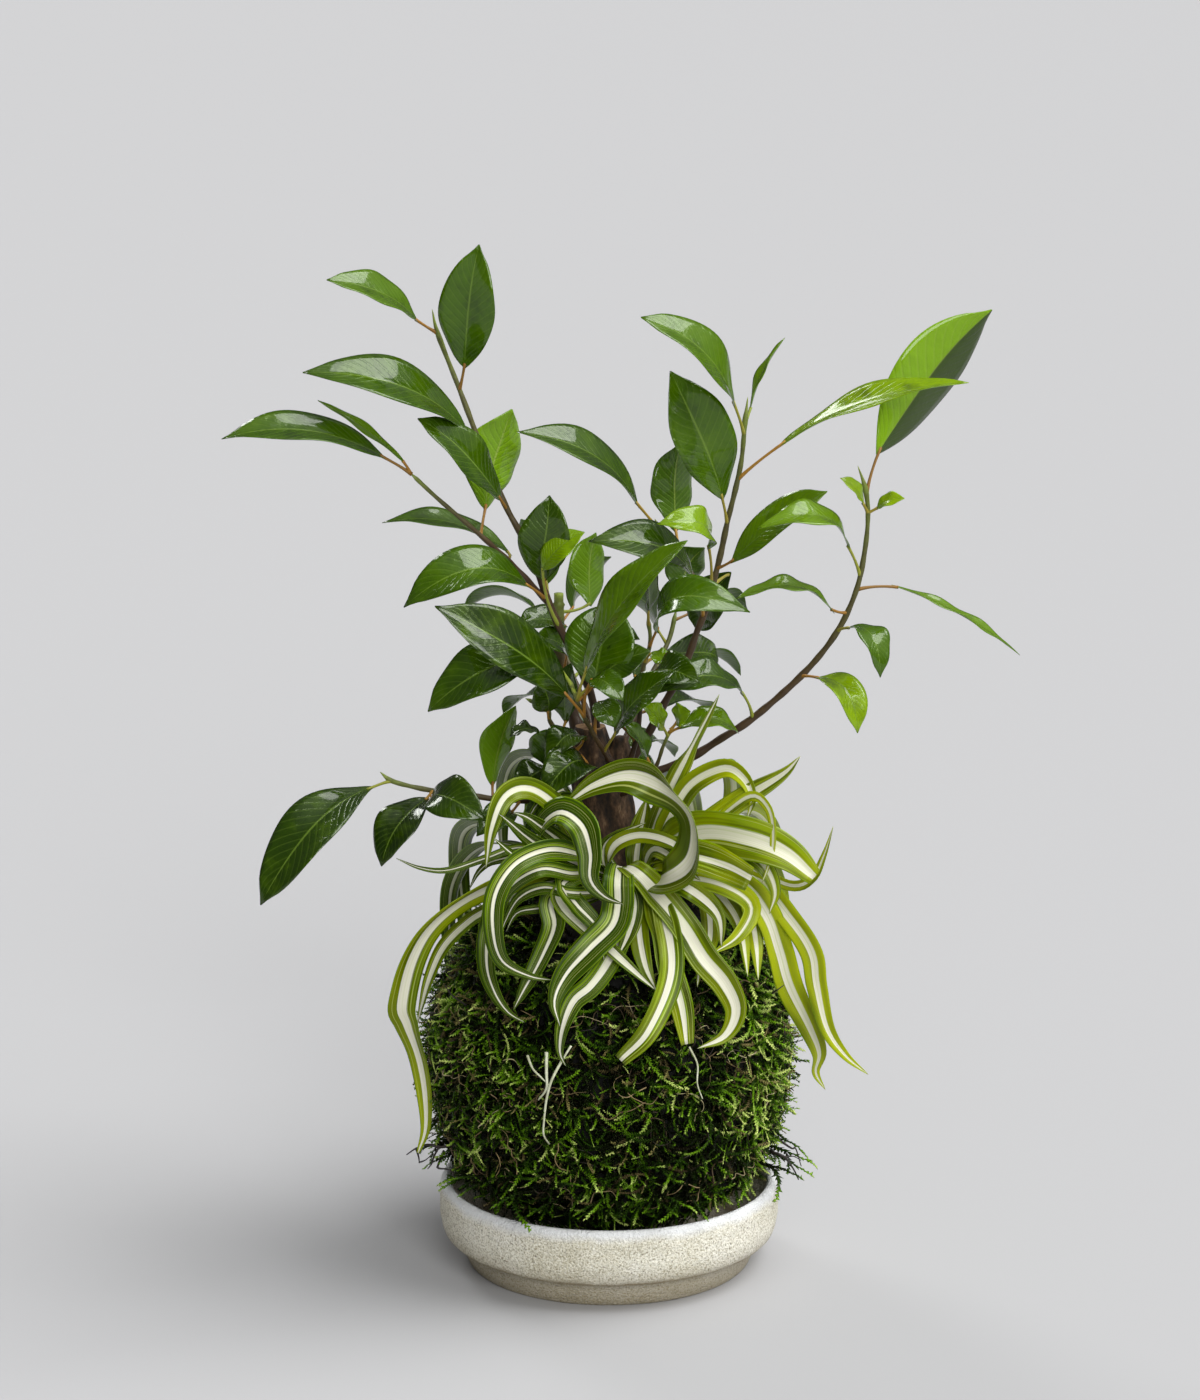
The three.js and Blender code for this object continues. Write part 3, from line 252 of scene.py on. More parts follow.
# Spider plant leaves, as in the solids.
STRAPS = [
    strap(17, [11, -34, 157], [21, -56, 166], [29, -62, 174], [31, -64, 185], [28, -62, 194],
          [19, -58, 201], [7, -54, 204], [-5, -51, 200], [-15, -49, 193], turn=85, twist=45, cut=0.12),
    strap(9, [5, -30, 157], [-7, -36, 168], [-18, -40, 187], [-29, -46, 197], [-38, -52, 196],
          [-43, -56, 185], [-45, -56, 170], turn=-70),
    strap(7, [5, -32, 157], [-10, -42, 167], [-25, -52, 177], [-40, -58, 191], turn=-95),
    strap(5, [5, -34, 156], [-14, -48, 166], [-32, -58, 174], [-42, -62, 183], turn=-90),
    strap(3, [5, -28, 156], [-13, -32, 168], [-32, -38, 173], [-45, -42, 170], [-59, -44, 166],
          [-69, -45, 167], [-78, -46, 171], turn=-70),
    strap(12.5, [6, -32, 157], [-7, -36, 162], [-21, -42, 171], [-25, -47, 182], [-18, -52, 190],
          [-10, -56, 186], [-7, -60, 177], [-7, -63, 168], [-2, -64, 162], [5, -65, 159], turn=-220,
          twist=50),
    strap(9.5, [6, -26, 156], [-6, -28, 169], [-15, -30, 187], [-21, -36, 187], [-24, -40, 176], turn=-55),
    strap(7.5, [10, -24, 155], [13, -26, 166], [19, -29, 184], [28, -32, 206], [40, -35, 230], turn=115,
          twist=50),
    strap(8.5, [10, -29, 156], [16, -33, 168], [23, -36, 185], [30, -38, 197], [42, -42, 204],
          [49, -46, 201], [52, -49, 194], [50, -50, 187], turn=95),
    strap(9, [11, -32, 157], [21, -38, 172], [33, -42, 181], [49, -47, 194], [63, -50, 204],
          [69, -52, 211], turn=95),
    strap(4, [11, -35, 157], [29, -44, 175], [44, -51, 191], [52, -55, 197], [57, -58, 194],
          [59, -60, 188], [59, -61, 179], [57, -62, 171], [55, -62, 166], turn=75),
    strap(17.5, [11, -34, 158], [20, -42, 173], [34, -50, 182], [50, -58, 182], [64, -62, 177],
          [74, -64, 169], turn=85, cut=0.36),
    strap(13.5, [12, -38, 158], [19, -46, 172], [31, -58, 175], [43, -65, 173], [51, -69, 170], turn=75,
          cut=0.75),
    strap(12, [8, -34, 156], [5, -42, 166], [10, -52, 167], [18, -51, 158], [27, -54, 147], [34, -59, 137],
          [42, -61, 128], [46, -62, 118], [42, -64, 109], [32, -67, 105], turn=80),
    strap(12, [7, -33, 156], [4, -43, 167], [3, -56, 165], [3, -56, 156], [1, -59, 149], [-7, -64, 142],
          [-16, -67, 133], [-20, -70, 124], [-18, -72, 115], turn=5),
    strap(9.5, [11, -37, 156], [15, -46, 161], [21, -55, 148], [22, -65, 132], [14, -74, 114],
          [4, -75, 103], turn=20, cut=0.55),
    strap(10.5, [12, -37, 156], [14, -44, 161], [18, -52, 147], [21, -61, 135], [26, -66, 121],
          [28, -68, 107], turn=10, cut=0.5),
    strap(7.5, [9, -37, 156], [10, -42, 158], [11, -54, 144], [13, -61, 134], [17, -64, 126]),
    strap(6.5, [4, -36, 157], [-8, -46, 164], [-18, -54, 162], [-17, -52, 155], [-10, -54, 148],
          [-2, -58, 142], [7, -63, 135], [17, -67, 127], turn=-90),
    strap(8.5, [6, -36, 156], [5, -51, 145], [-1, -60, 135], [-7, -65, 128], [-13, -67, 123],
          [-17, -70, 114], [-18, -71, 105], [-16, -72, 100], turn=-10),
    strap(8.5, [5, -34, 157], [-2, -40, 166], [-13, -50, 174], [-23, -60, 178], [-34, -68, 175],
          [-41, -72, 165], [-42, -74, 152], [-39, -69, 139], [-29, -65, 132], [-20, -64, 130], turn=-70),
    strap(6, [4, -34, 157], [-4, -40, 164], [-14, -52, 167], [-25, -64, 172], [-36, -59, 164],
          [-41, -55, 152], [-40, -53, 140], turn=-90),
    strap(5, [4, -36, 156], [-5, -46, 158], [-14, -56, 161], [-24, -53, 162], [-33, -50, 157],
          [-38, -49, 148], [-40, -49, 142], turn=-95),
    strap(9.5, [3, -36, 157], [-11, -48, 162], [-21, -48, 156], [-20, -52, 147], [-24, -58, 138],
          [-31, -62, 126], [-35, -61, 118], turn=-70),
    strap(4, [3, -38, 156], [-11, -43, 153], [-26, -43, 151], [-34, -42, 149], [-38, -42, 142], turn=-50),
    strap(8.5, [2, -30, 157], [-22, -42, 168], [-38, -40, 159], [-44, -42, 143], [-45, -49, 131],
          [-42, -56, 123], [-37, -61, 117], [-31, -64, 114], turn=-75),
    strap(11, [2, -27, 157], [-15, -32, 164], [-32, -37, 161], [-50, -42, 156], [-65, -44, 145],
          [-73, -43, 131], [-77, -39, 113], [-75, -36, 104], [-71, -33, 90], [-69, -31, 75],
          [-69, -29, 61], [-72, -28, 51], turn=-115, twist=50, cut=0.1),
    strap(6.5, [2, -30, 156], [-22, -38, 159], [-45, -32, 147], [-54, -29, 140], [-62, -28, 131],
          [-67, -29, 120], [-70, -27, 109], [-72, -24, 100], turn=-50),
    strap(4, [2, -26, 156], [-20, -24, 167], [-41, -26, 165], [-48, -27, 161], [-52, -28, 154], turn=-70),
    strap(7.5, [13, -36, 157], [24, -46, 166], [31, -43, 162], [36, -43, 152], [37, -47, 141],
          [33, -55, 132], [32, -59, 126], turn=105),
    strap(8.5, [13, -35, 157], [27, -42, 165], [37, -38, 158], [43, -35, 151], [48, -37, 142],
          [51, -43, 125], turn=80),
    strap(9, [13, -33, 157], [33, -40, 164], [46, -35, 158], [51, -33, 149], [54, -35, 135],
          [55, -41, 123], turn=85),
    strap(11, [14, -30, 157], [33, -36, 165], [49, -40, 159], [58, -34, 146], [63, -30, 131],
          [67, -28, 117], [75, -22, 99], [79, -17, 87], [78, -13, 78], [82, -10, 70], turn=80),
    strap(9, [14, -26, 156], [33, -28, 168], [52, -30, 161], [67, -32, 144], [75, -32, 131],
          [77, -31, 118], [81, -30, 101], [88, -29, 90], [97, -28, 82], turn=80),
    strap(8, [12, -38, 157], [28, -50, 165], [43, -45, 160], [52, -44, 152], [47, -48, 142],
          [37, -55, 137], turn=95),
    strap(4.5, [6, -33, 156], [-1, -38, 164], [-2, -41, 173], [2, -44, 179], [13, -48, 185], turn=-150),
    strap(6, [6, -34, 157], [0, -42, 166], [2, -46, 176], [11, -50, 181], [22, -56, 180], [29, -59, 175],
          [32, -60, 169], turn=165),
    strap(7, [11, -34, 157], [16, -44, 174], [26, -54, 171], [33, -58, 166], turn=80),
    strap(8.5, [9, -25, 156], [11, -22, 173], [14, -20, 187], turn=30),
    strap(8, [5, -30, 156], [-5, -34, 171], [-16, -36, 184], [-23, -38, 191], [-27, -42, 190],
          [-31, -45, 183], turn=-80),
    strap(7.5, [4, -32, 156], [-9, -40, 168], [-20, -46, 179], [-29, -50, 187], [-35, -52, 190], turn=-95),
    strap(8, [3, -34, 156], [-8, -44, 164], [-17, -56, 164], [-12, -55, 156], [-4, -57, 147],
          [-2, -62, 137], turn=-25),
    strap(9, [13, -31, 157], [30, -42, 174], [43, -53, 178], [55, -58, 173], [60, -60, 163],
          [58, -60, 154], turn=70),
    strap(7.5, [11, -38, 157], [19, -50, 164], [29, -62, 164], [39, -57, 153], [41, -52, 139], turn=70),
    strap(7, [8, -36, 157], [7, -44, 161], [9, -49, 154], [7, -55, 145], [3, -61, 138], turn=15),
    strap(4.5, [12, -30, 157], [30, -36, 169], [49, -44, 168], [66, -50, 162], [74, -54, 166],
          [78, -56, 175], [81, -57, 186], turn=80),
    strap(9, [6, -28, 156], [-14, -32, 172], [-38, -14, 175], [-54, 14, 166], [-58, 38, 146],
          [-56, 50, 116], [-54, 56, 88]),
    strap(8, [6, -27, 156], [-12, -24, 184], [-26, 2, 196], [-38, 30, 186], [-42, 54, 158],
          [-40, 66, 124]),
    strap(9, [12, -27, 156], [32, -26, 174], [52, -6, 178], [62, 20, 160], [60, 42, 134], [58, 52, 102]),
    strap(8, [12, -26, 156], [30, -16, 184], [42, 10, 192], [48, 38, 176], [46, 58, 146], [44, 68, 110],
          [42, 70, 84]),
    strap(10, [12, -24, 157], [22, 0, 170], [28, 28, 176], [32, 54, 162], [34, 72, 130], [32, 80, 98]),
    strap(9, [4, -28, 157], [-14, -26, 165], [-26, -4, 164], [-28, 28, 174], [-26, 56, 164],
          [-26, 76, 132], [-24, 80, 100]),
    strap(8, [5, -28, 157], [-24, -24, 166], [-46, -2, 164], [-60, 24, 142], [-62, 42, 110],
          [-60, 48, 80]),
    strap(8, [13, -28, 157], [38, -22, 168], [56, 2, 160], [66, 26, 134], [66, 38, 104]),
    strap(9, [12, -24, 157], [24, 6, 164], [22, 38, 168], [14, 64, 154], [8, 80, 124], [6, 84, 90]),
    strap(9, [4, -29, 157], [-20, -22, 164], [-29, 6, 171], [-18, 42, 174], [-8, 68, 154], [-4, 84, 120],
          [-2, 86, 96]),
]

# ---------------------------------------------------------------- curves


def unit(v):
    return v / np.maximum(np.linalg.norm(v, axis=-1, keepdims=True), 1e-9)


def square_to(tangent, wanted):
    """The direction nearest to wanted that is square to the tangent."""
    return unit(wanted - tangent * np.sum(tangent * wanted, axis=-1, keepdims=True))


def smoothstep(x):
    x = np.clip(x, 0, 1)
    return x * x * (3 - 2 * x)


def spline_at(points, shares):
    """Points of a smooth curve through the given ones, at shares of its run of points."""
    p = np.array(points, float)
    p = np.vstack([2 * p[0] - p[1], p, 2 * p[-1] - p[-2]])
    place = np.atleast_1d(shares) * (len(points) - 1)
    i = np.minimum(place.astype(int), len(points) - 2)
    t = (place - i)[:, None]
    a, b, c, d = p[i], p[i + 1], p[i + 2], p[i + 3]
    square, cube = 2 * a - 5 * b + 4 * c - d, 3 * b - a - 3 * c + d
    return 0.5 * (2 * b + (c - a) * t + square * t**2 + cube * t**3)


def spline(points, count):
    """count points at even distances along a smooth curve through the given ones."""
    fine = spline_at(points, np.linspace(0, 1, 60 * len(points)))
    run = np.concatenate([[0], np.cumsum(np.linalg.norm(np.diff(fine, axis=0), axis=1))])
    wanted = np.linspace(0, run[-1], count)
    return np.stack([np.interp(wanted, run, fine[:, k]) for k in range(3)], axis=1)


def bezier(start, bend, end, t):
    """Points of the curve that leaves start towards bend and comes to end from there."""
    return (1 - t) ** 2 * start + 2 * t * (1 - t) * bend + t**2 * end


def length_of(points):
    return float(np.sum(np.linalg.norm(np.diff(np.array(points, float), axis=0), axis=1)))


def tangents(path):
    return unit(np.gradient(path, axis=0))


def circle(count):
    """Angles at even steps all round."""
    return np.linspace(0, 2 * np.pi, count, endpoint=False)


def frames_along(path, first_normal):
    """Tangents, normals and sides along a path, each turned as little as possible."""
    along = tangents(path)
    normals = []
    normal = first_normal
    for tangent in along:
        normal = square_to(tangent, normal)
        normals.append(normal)
    normals = np.array(normals)
    return along, normals, np.cross(along, normals)


# ---------------------------------------------------------------- meshes


CELL_MARGIN = 0.04  # left free round a cell of the texture map, as a share of it


class Body:
    """Vertices, faces and per-vertex values of one piece, gathered loft by loft.

    Each loft gets a cell of its own of the texture map, out of cells by cells.
    """

    def __init__(self, cells=1):
        self.vertices, self.faces, self.uvs, self.values = [], [], [], {}
        self.count = 0
        self.cells = cells
        self.used = 0

    def cell(self, u, v):
        """Texture coordinates inside the next cell."""
        row, column = divmod(self.used, self.cells)
        inner = 1 - 2 * CELL_MARGIN
        return ((column + CELL_MARGIN + u * inner) / self.cells,
                (row + CELL_MARGIN + v * inner) / self.cells)

    def loft(self, rings, **values):
        """A closed tube through rings of equal count, with a face at each end."""
        rings = np.asarray(rings)
        rows, around = rings.shape[:2]
        first = self.count
        self.vertices.append(rings.reshape(-1, 3))
        self.count += rows * around
        for name, value in values.items():
            filled = np.broadcast_to(value, (rows, around)).reshape(-1)
            self.values.setdefault(name, []).append(filled)
        for i in range(rows - 1):
            for j in range(around):
                k = (j + 1) % around
                a, b = first + i * around, first + (i + 1) * around
                self.faces.append((a + j, a + k, b + k, b + j))
                corners = ((j, i), (j + 1, i), (j + 1, i + 1), (j, i + 1))
                self.uvs.extend(self.cell(x / around, y / (rows - 1)) for x, y in corners)
        last = first + (rows - 1) * around
        self.faces.append(tuple(range(first + around - 1, first - 1, -1)))
        self.faces.append(tuple(range(last, last + around)))
        self.uvs.extend(self.cell(j / around, 0) for j in range(around - 1, -1, -1))
        self.uvs.extend(self.cell(j / around, 1) for j in range(around))
        self.used += 1

    def piece(self, name, material, slot, *nodes):
        mesh = bpy.data.meshes.new(name)
        mesh.from_pydata(np.vstack(self.vertices) * MM, [], self.faces)
        values = {key: np.concatenate(parts) for key, parts in self.values.items()}
        add_layers(mesh, values, np.array(self.uvs))
        add_piece(name, mesh, material, slot, *nodes)


def add_layers(mesh, values, uvs):
    """Gives a mesh its per-vertex values and its texture map."""
    for key, value in values.items():
        layer = mesh.attributes.new(key, "FLOAT", "POINT")
        layer.data.foreach_set("value", value.astype(np.float32))
    layer = mesh.uv_layers.new(name="OFBake")
    layer.data.foreach_set("uv", uvs.astype(np.float32).ravel())


def add_piece(name, mesh, material, slot, *nodes):
    mesh.shade_smooth()
    mesh.materials.append(material)
    piece = bpy.data.objects.new(name, mesh)
    bpy.context.scene.collection.objects.link(piece)
    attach(piece, "root")
    if nodes:
        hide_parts(*nodes)


def tube_rings(path, radii, sides, first_normal=(0.3, 0.9, 0.1)):
    _, normal, side = frames_along(path, np.array(first_normal))
    turn = circle(sides)[None, :, None]
    ring = normal[:, None] * np.cos(turn) + side[:, None] * np.sin(turn)
    return path[:, None] + ring * np.reshape(radii, (-1, 1, 1))


def blade_rings(path, normal, side, half, fold, thickness, across_count, waves):
    """Sections of a folded blade: its upper side from left to right, then its lower side back.

    waves says how its edges ripple: how high, how many times and from which angle on.
    """
    ripple, ripples, phase = waves
    across = np.linspace(-1, 1, across_count)
    rows = len(path)
    along = np.linspace(0, 1, rows)[:, None]
    half = np.reshape(half, (-1, 1))
    # A rounded fold, so that the rib isn't a hard crease.
    rounding = 0.03
    lift = half * math.sin(fold) * (np.sqrt(across**2 + rounding) - math.sqrt(rounding))
    wave = ripple * np.sin(2 * np.pi * ripples * along + phase + 1.3 * np.sign(across)) * across**2
    lift = lift + wave * np.minimum(1, half / 4)
    spread = half * math.cos(fold) * across
    middle = path[:, None] + side[:, None] * spread[..., None] + normal[:, None] * lift[..., None]
    edge = 0.35 + 0.65 * (1 - across**2) ** 0.5
    body = thickness / 2 * edge * np.minimum(1, half / 1.5)
    upper = middle + normal[:, None] * body[..., None]
    lower = middle - normal[:, None] * body[..., None]
    rings = np.concatenate([upper, lower[:, -1::-1]], axis=1)
    values = {
        "across": np.concatenate([across, across[::-1]])[None],
        "along": along,
        "under": np.concatenate([np.zeros(across_count), np.ones(across_count)])[None],
    }
    return rings, {k: np.broadcast_to(v, rings.shape[:2]) for k, v in values.items()}


# ---------------------------------------------------------------- materials


# Places of the colour mix's factor and two colours among its node's inputs, and of its result.
MIX_COLOUR_INPUTS = (0, 6, 7)
MIX_COLOUR_OUTPUT = 2


class Nodes:
    """A short hand for building a material's nodes."""

    def __init__(self, name):
        self.material = bpy.data.materials.new(name)
        self.material.use_nodes = True
        self.tree = self.material.node_tree
        self.shader = self.tree.nodes["Principled BSDF"]
        self.output = self.tree.nodes["Material Output"]

    def new(self, kind, **settings):
        node = self.tree.nodes.new(kind)
        for key, value in settings.items():
            setattr(node, key, value)
        return node

    def put(self, socket, value):
        """Gives a socket a link, a colour or a number."""
        if isinstance(value, bpy.types.NodeSocket):
            self.tree.links.new(value, socket)
        else:
            socket.default_value = rgba(value) if isinstance(value, str) else value

    def value(self, name):
        return self.new("ShaderNodeAttribute", attribute_name=name).outputs["Fac"]

    def position(self):
        return self.new("ShaderNodeNewGeometry").outputs["Position"]

    def math(self, operation, *values):
        node = self.new("ShaderNodeMath", operation=operation)
        for socket, value in zip(node.inputs, values):
            self.put(socket, value)
        return node.outputs[0]

    def plus(self, a, b):
        return self.math("ADD", a, b)

    def minus(self, a, b):
        return self.math("SUBTRACT", a, b)

    def times(self, a, b):
        return self.math("MULTIPLY", a, b)

    def ramp(self, factor, *stops):
        """stops are (place, colour) or (place, grey)."""
        node = self.new("ShaderNodeValToRGB")
        elements = node.color_ramp.elements
        while len(elements) < len(stops):
            elements.new(0.5)
        for element, (place, colour) in zip(elements, stops):
            element.position = place
            element.color = rgba(colour)
        self.put(node.inputs[0], factor)
        return node.outputs[0]

    def mix(self, factor, a, b):
        node = self.new("ShaderNodeMix", data_type="RGBA")
        for place, value in zip(MIX_COLOUR_INPUTS, (factor, a, b)):
            self.put(node.inputs[place], value)
        return node.outputs[MIX_COLOUR_OUTPUT]

    def paint(self, ground, colour, factor, *stops):
        """Lays a colour over the ground, as thick as the ramp of stops says."""
        return self.mix(self.ramp(factor, *stops), ground, colour)

    def noise(self, scale, detail=3.0, rough=0.6, where=None):
        node = self.new("ShaderNodeTexNoise")
        for key, value in (("Scale", scale), ("Detail", detail), ("Roughness", rough)):
            node.inputs[key].default_value = value
        self.put(node.inputs["Vector"], where or self.position())
        return node.outputs["Fac"]

    def vector(self, x, y, z):
        node = self.new("ShaderNodeCombineXYZ")
        for socket, value in zip(node.inputs, (x, y, z)):
            self.put(socket, value)
        return node.outputs[0]

    def bump(self, height, distance, strength):
        """Lets a height show as relief; distance is in millimetres."""
        node = self.new("ShaderNodeBump")
        node.inputs["Strength"].default_value = strength
        node.inputs["Distance"].default_value = distance * MM
        self.put(node.inputs["Height"], height)
        self.put(self.shader.inputs["Normal"], node.outputs[0])

    def surface(self, colour, roughness, **constants):
        self.put(self.shader.inputs["Base Color"], colour)
        self.put(self.shader.inputs["Roughness"], roughness)
        for key, value in constants.items():
            self.shader.inputs[key.replace("_", " ")].default_value = value
        return self.material

    def see_light_through(self, colour, share):
        """Mixes in the light that falls on the other side of a thin leaf."""
        glow = self.new("ShaderNodeBsdfTranslucent")
        self.put(glow.inputs["Color"], colour)
        mixed = self.new("ShaderNodeMixShader")
        mixed.inputs[0].default_value = share
        self.tree.links.new(self.shader.outputs[0], mixed.inputs[1])
        self.tree.links.new(glow.outputs[0], mixed.inputs[2])
        self.tree.links.new(mixed.outputs[0], self.output.inputs["Surface"])
        return self.material


def rgba(colour):
    """A grey of linear light as it is, or a colour written as in a paint program turned into it."""
    if not isinstance(colour, str):
        return colour, colour, colour, 1
    parts = [int(colour[k:k + 2], 16) / 255 for k in (1, 3, 5)]
    return *(c / 12.92 if c <= 0.04045 else ((c + 0.055) / 1.055) ** 2.4 for c in parts), 1


SIDE_VEINS = 15.0  # on each side of a ficus leaf's rib
FULL_TURN = 6.2832  # in radians


def ficus_leaf_material():
    n = Nodes("ficus_leaf")
    across, along, tint = n.value("across"), n.value("along"), n.value("tint")
    off_rib = n.math("ABSOLUTE", across)
    upper = n.ramp(tint, (0.0, "#182b00"), (0.5, "#456700"), (0.75, "#729800"), (1.0, "#a8c800"))
    lower = n.ramp(tint, (0.0, "#36510f"), (0.6, "#4f7408"), (1.0, "#80ab03"))
    mottle = n.noise(90, 4)
    upper = n.paint(upper, "#5c7c04", mottle, (0.5, 0.0), (0.75, 0.5))
    upper = n.paint(upper, "#16290a", mottle, (0.3, 0.5), (0.48, 0.0))
    # Side veins leave the rib at a slant, towards the tip.
    slant = n.minus(n.times(along, SIDE_VEINS), n.times(off_rib, 3.2))
    stripe = n.math("SINE", n.times(slant, FULL_TURN))
    veins = n.ramp(stripe, (0.75, 0.0), (1.0, 0.14))
    rib = n.ramp(off_rib, (0.0, 0.6), (0.02, 0.5), (0.05, 0.0))
    lines = n.math("MAXIMUM", rib, veins)
    upper = n.mix(lines, upper, "#7c9a34")
    lower = n.mix(lines, lower, "#a4ba52")
    colour = n.mix(n.value("under"), upper, lower)
    # One half of the brightest leaf lies in the shade.
    brightest = n.ramp(tint, (0.96, 0.0), (0.99, 0.9))
    shaded = n.times(brightest, n.ramp(across, (0.0, 1.0), (0.04, 0.0)))
    colour = n.mix(shaded, colour, "#1d2f04")
    shine = n.plus(0.08, n.times(n.value("under"), 0.4))
    rough = n.plus(shine, n.times(mottle, 0.14))
    # Side veins lie in grooves, and the leaf is uneven between them, which breaks up its gloss.
    broad, fine = n.times(n.noise(75, 2, 0.5), 4.0), n.times(n.noise(260, 3, 0.6), 1.6)
    uneven = n.plus(broad, fine)
    grooves = n.plus(rib, n.ramp(stripe, (0.2, 0.0), (1.0, 0.45)))
    n.bump(n.minus(uneven, grooves), 0.28, 0.8)
    n.surface(colour, rough, Specular_IOR_Level=0.3, Specular_Tint=(0.8, 1.0, 0.5, 1),
              Coat_Weight=0.75, Coat_Roughness=0.05)
    return n.see_light_through(n.mix(0.5, colour, "#8cc004"), 0.22)


def strap_material():
    n = Nodes("variegated_leaf")
    across, along, tint = n.value("across"), n.value("along"), n.value("tint")

    def streaks(across_scale, along_scale, seed, detail=2):
        """Noise drawn out along the leaf, another one for each leaf."""
        x, y = n.times(across, across_scale), n.times(along, along_scale)
        return n.noise(1.0, detail, 0.55, n.vector(x, y, n.times(tint, seed)))

    # The cream stripe lies off the middle by a little, is wider in some leaves and has ragged edges.
    drift = n.times(n.minus(streaks(0.0, 2.0, 91.0), 0.5), 0.3)
    off = n.math("ABSOLUTE", n.plus(across, drift))
    ragged = n.times(n.minus(streaks(8.0, 1.5, 57.0), 0.5), 0.16)
    width = n.minus(streaks(0.0, 0.3, 131.0), 0.22)
    beyond = n.times(n.minus(n.plus(off, ragged), width), 22.0)
    stripe = n.ramp(beyond, (0.0, 1.0), (1.0, 0.0))

    dark, mid, lime, cream = "#0b1901", "#284402", "#789804", "#f2efdc"
    green = n.ramp(streaks(5.0, 1.0, 33.0), (0.32, dark), (0.46, mid), (0.56, mid), (0.68, lime))
    # Painted sunlight: yellow streaks, stronger in leaves of higher tint, where light falls on and through
    # them.
    painted_sunlight = n.times(n.ramp(streaks(0.6, 2.2, 71.0), (0.35, 0.2), (0.65, 1.1)), tint)
    green = n.mix(painted_sunlight, green, "#c0cc10")
    thin_lines = ((0.58, 0.0), (0.6, 0.5), (0.615, 0.5), (0.635, 0.0))
    colour = n.paint(green, "#d9e27c", streaks(6.0, 0.5, 19.0, 1), *thin_lines)
    colour = n.paint(colour, lime, off, (0.92, 0.0), (0.97, 0.7))
    # Streaks of painted shade over the cream stripe.
    shaded_cream = n.paint(cream, "#bccc6c", streaks(16.0, 1.0, 45.0), (0.48, 0.0), (0.7, 0.5))
    colour = n.mix(stripe, colour, shaded_cream)
    colour = n.mix(n.times(n.value("under"), 0.15), colour, "#8fae4c")
    n.bump(streaks(20.0, 1.0, 11.0), 0.12, 0.6)
    n.surface(colour, 0.26, Specular_IOR_Level=0.3, Specular_Tint=(0.85, 1.0, 0.55, 1))
    return n.see_light_through(n.mix(0.35, colour, "#b4d008"), 0.18)


def twig_material():
    n = Nodes("twig")
    stalk = n.value("stalk")
    grain = n.noise(300, 4)
    bark = n.ramp(n.value("along"), (0.0, "#3d2717"), (0.45, "#4c3a20"), (0.8, "#57582a"),
                  (0.95, "#6f7d30"), (1.0, "#8fa040"))
    bark = n.paint(bark, "#2a1a10", grain, (0.4, 0.0), (0.7, 0.5))
    green = n.ramp(n.value("tint"), (0.0, "#7b5a1e"), (0.45, "#a8762a"), (1.0, "#8a9a34"))
    n.bump(grain, 0.25, 0.7)
    return n.surface(n.mix(stalk, bark, green), 0.5, Specular_IOR_Level=0.4)


def bark_material():
    n = Nodes("bark")
    # The grain is drawn out along the stump.
    stretch = n.new("ShaderNodeVectorMath", operation="MULTIPLY")
    n.put(stretch.inputs[0], n.position())
    n.put(stretch.inputs[1], (330, 330, 150))
    rings = n.noise(1.0, 5, 0.65, stretch.outputs[0])
    colour = n.ramp(rings, (0.32, "#140c07"), (0.48, "#33220f"), (0.62, "#59402a"), (0.78, "#93795a"))
    wood = n.ramp(n.noise(380, 3), (0.3, "#6a4a2e"), (0.7, "#a58560"))
    n.bump(rings, 0.9, 0.9)
    return n.surface(n.mix(n.value("sawn"), colour, wood), 0.8)


def moss_material():
    n = Nodes("moss")
    tint = n.value("tint")
    green = n.ramp(tint, (0.0, "#020401"), (0.25, "#071100"), (0.5, "#284803"),
                   (0.72, "#74a416"), (1.0, "#e0f088"))
    colour = n.mix(n.value("dead"), green, n.ramp(tint, (0.2, "#120b06"), (0.8, "#8c7850")))
    n.surface(colour, 0.32, Specular_IOR_Level=0.22, Specular_Tint=(0.9, 1.0, 0.5, 1))
    return n.see_light_through(n.mix(0.5, colour, "#7c9c04"), 0.15)


def felt_material():
    n = Nodes("moss_felt")
    # Nearly black: painted shade in the hollows between the moss shoots.
    clumps = n.noise(240, 5, 0.7)
    colour = n.ramp(clumps, (0.4, "#020201"), (0.6, "#070803"), (0.8, "#10140a"))
    n.bump(clumps, 1.5, 1.0)
    return n.surface(colour, 0.95)


def soil_material():
    n = Nodes("soil")
    grains = n.noise(420, 6, 0.75)
    colour = n.ramp(grains, (0.35, "#0b0704"), (0.6, "#23160d"), (0.78, "#4a3524"))
    n.bump(grains, 1.2, 1.0)
    return n.surface(colour, 0.95)


def root_material():
    n = Nodes("fine_root")
    colour = n.ramp(n.noise(200, 3), (0.3, "#9da07c"), (0.65, "#dcdfc4"))
    return n.surface(colour, 0.5)


def dead_stem_material():
    n = Nodes("dead_stem")
    tint = n.value("tint")
    brown = n.ramp(tint, (0.15, "#1b130c"), (0.5, "#5b472c"), (0.75, "#9a8458"), (1.0, "#c2b88c"))
    return n.surface(n.paint(brown, "#2a1c10", n.noise(300, 2), (0.4, 0.0), (0.7, 0.5)), 0.6)


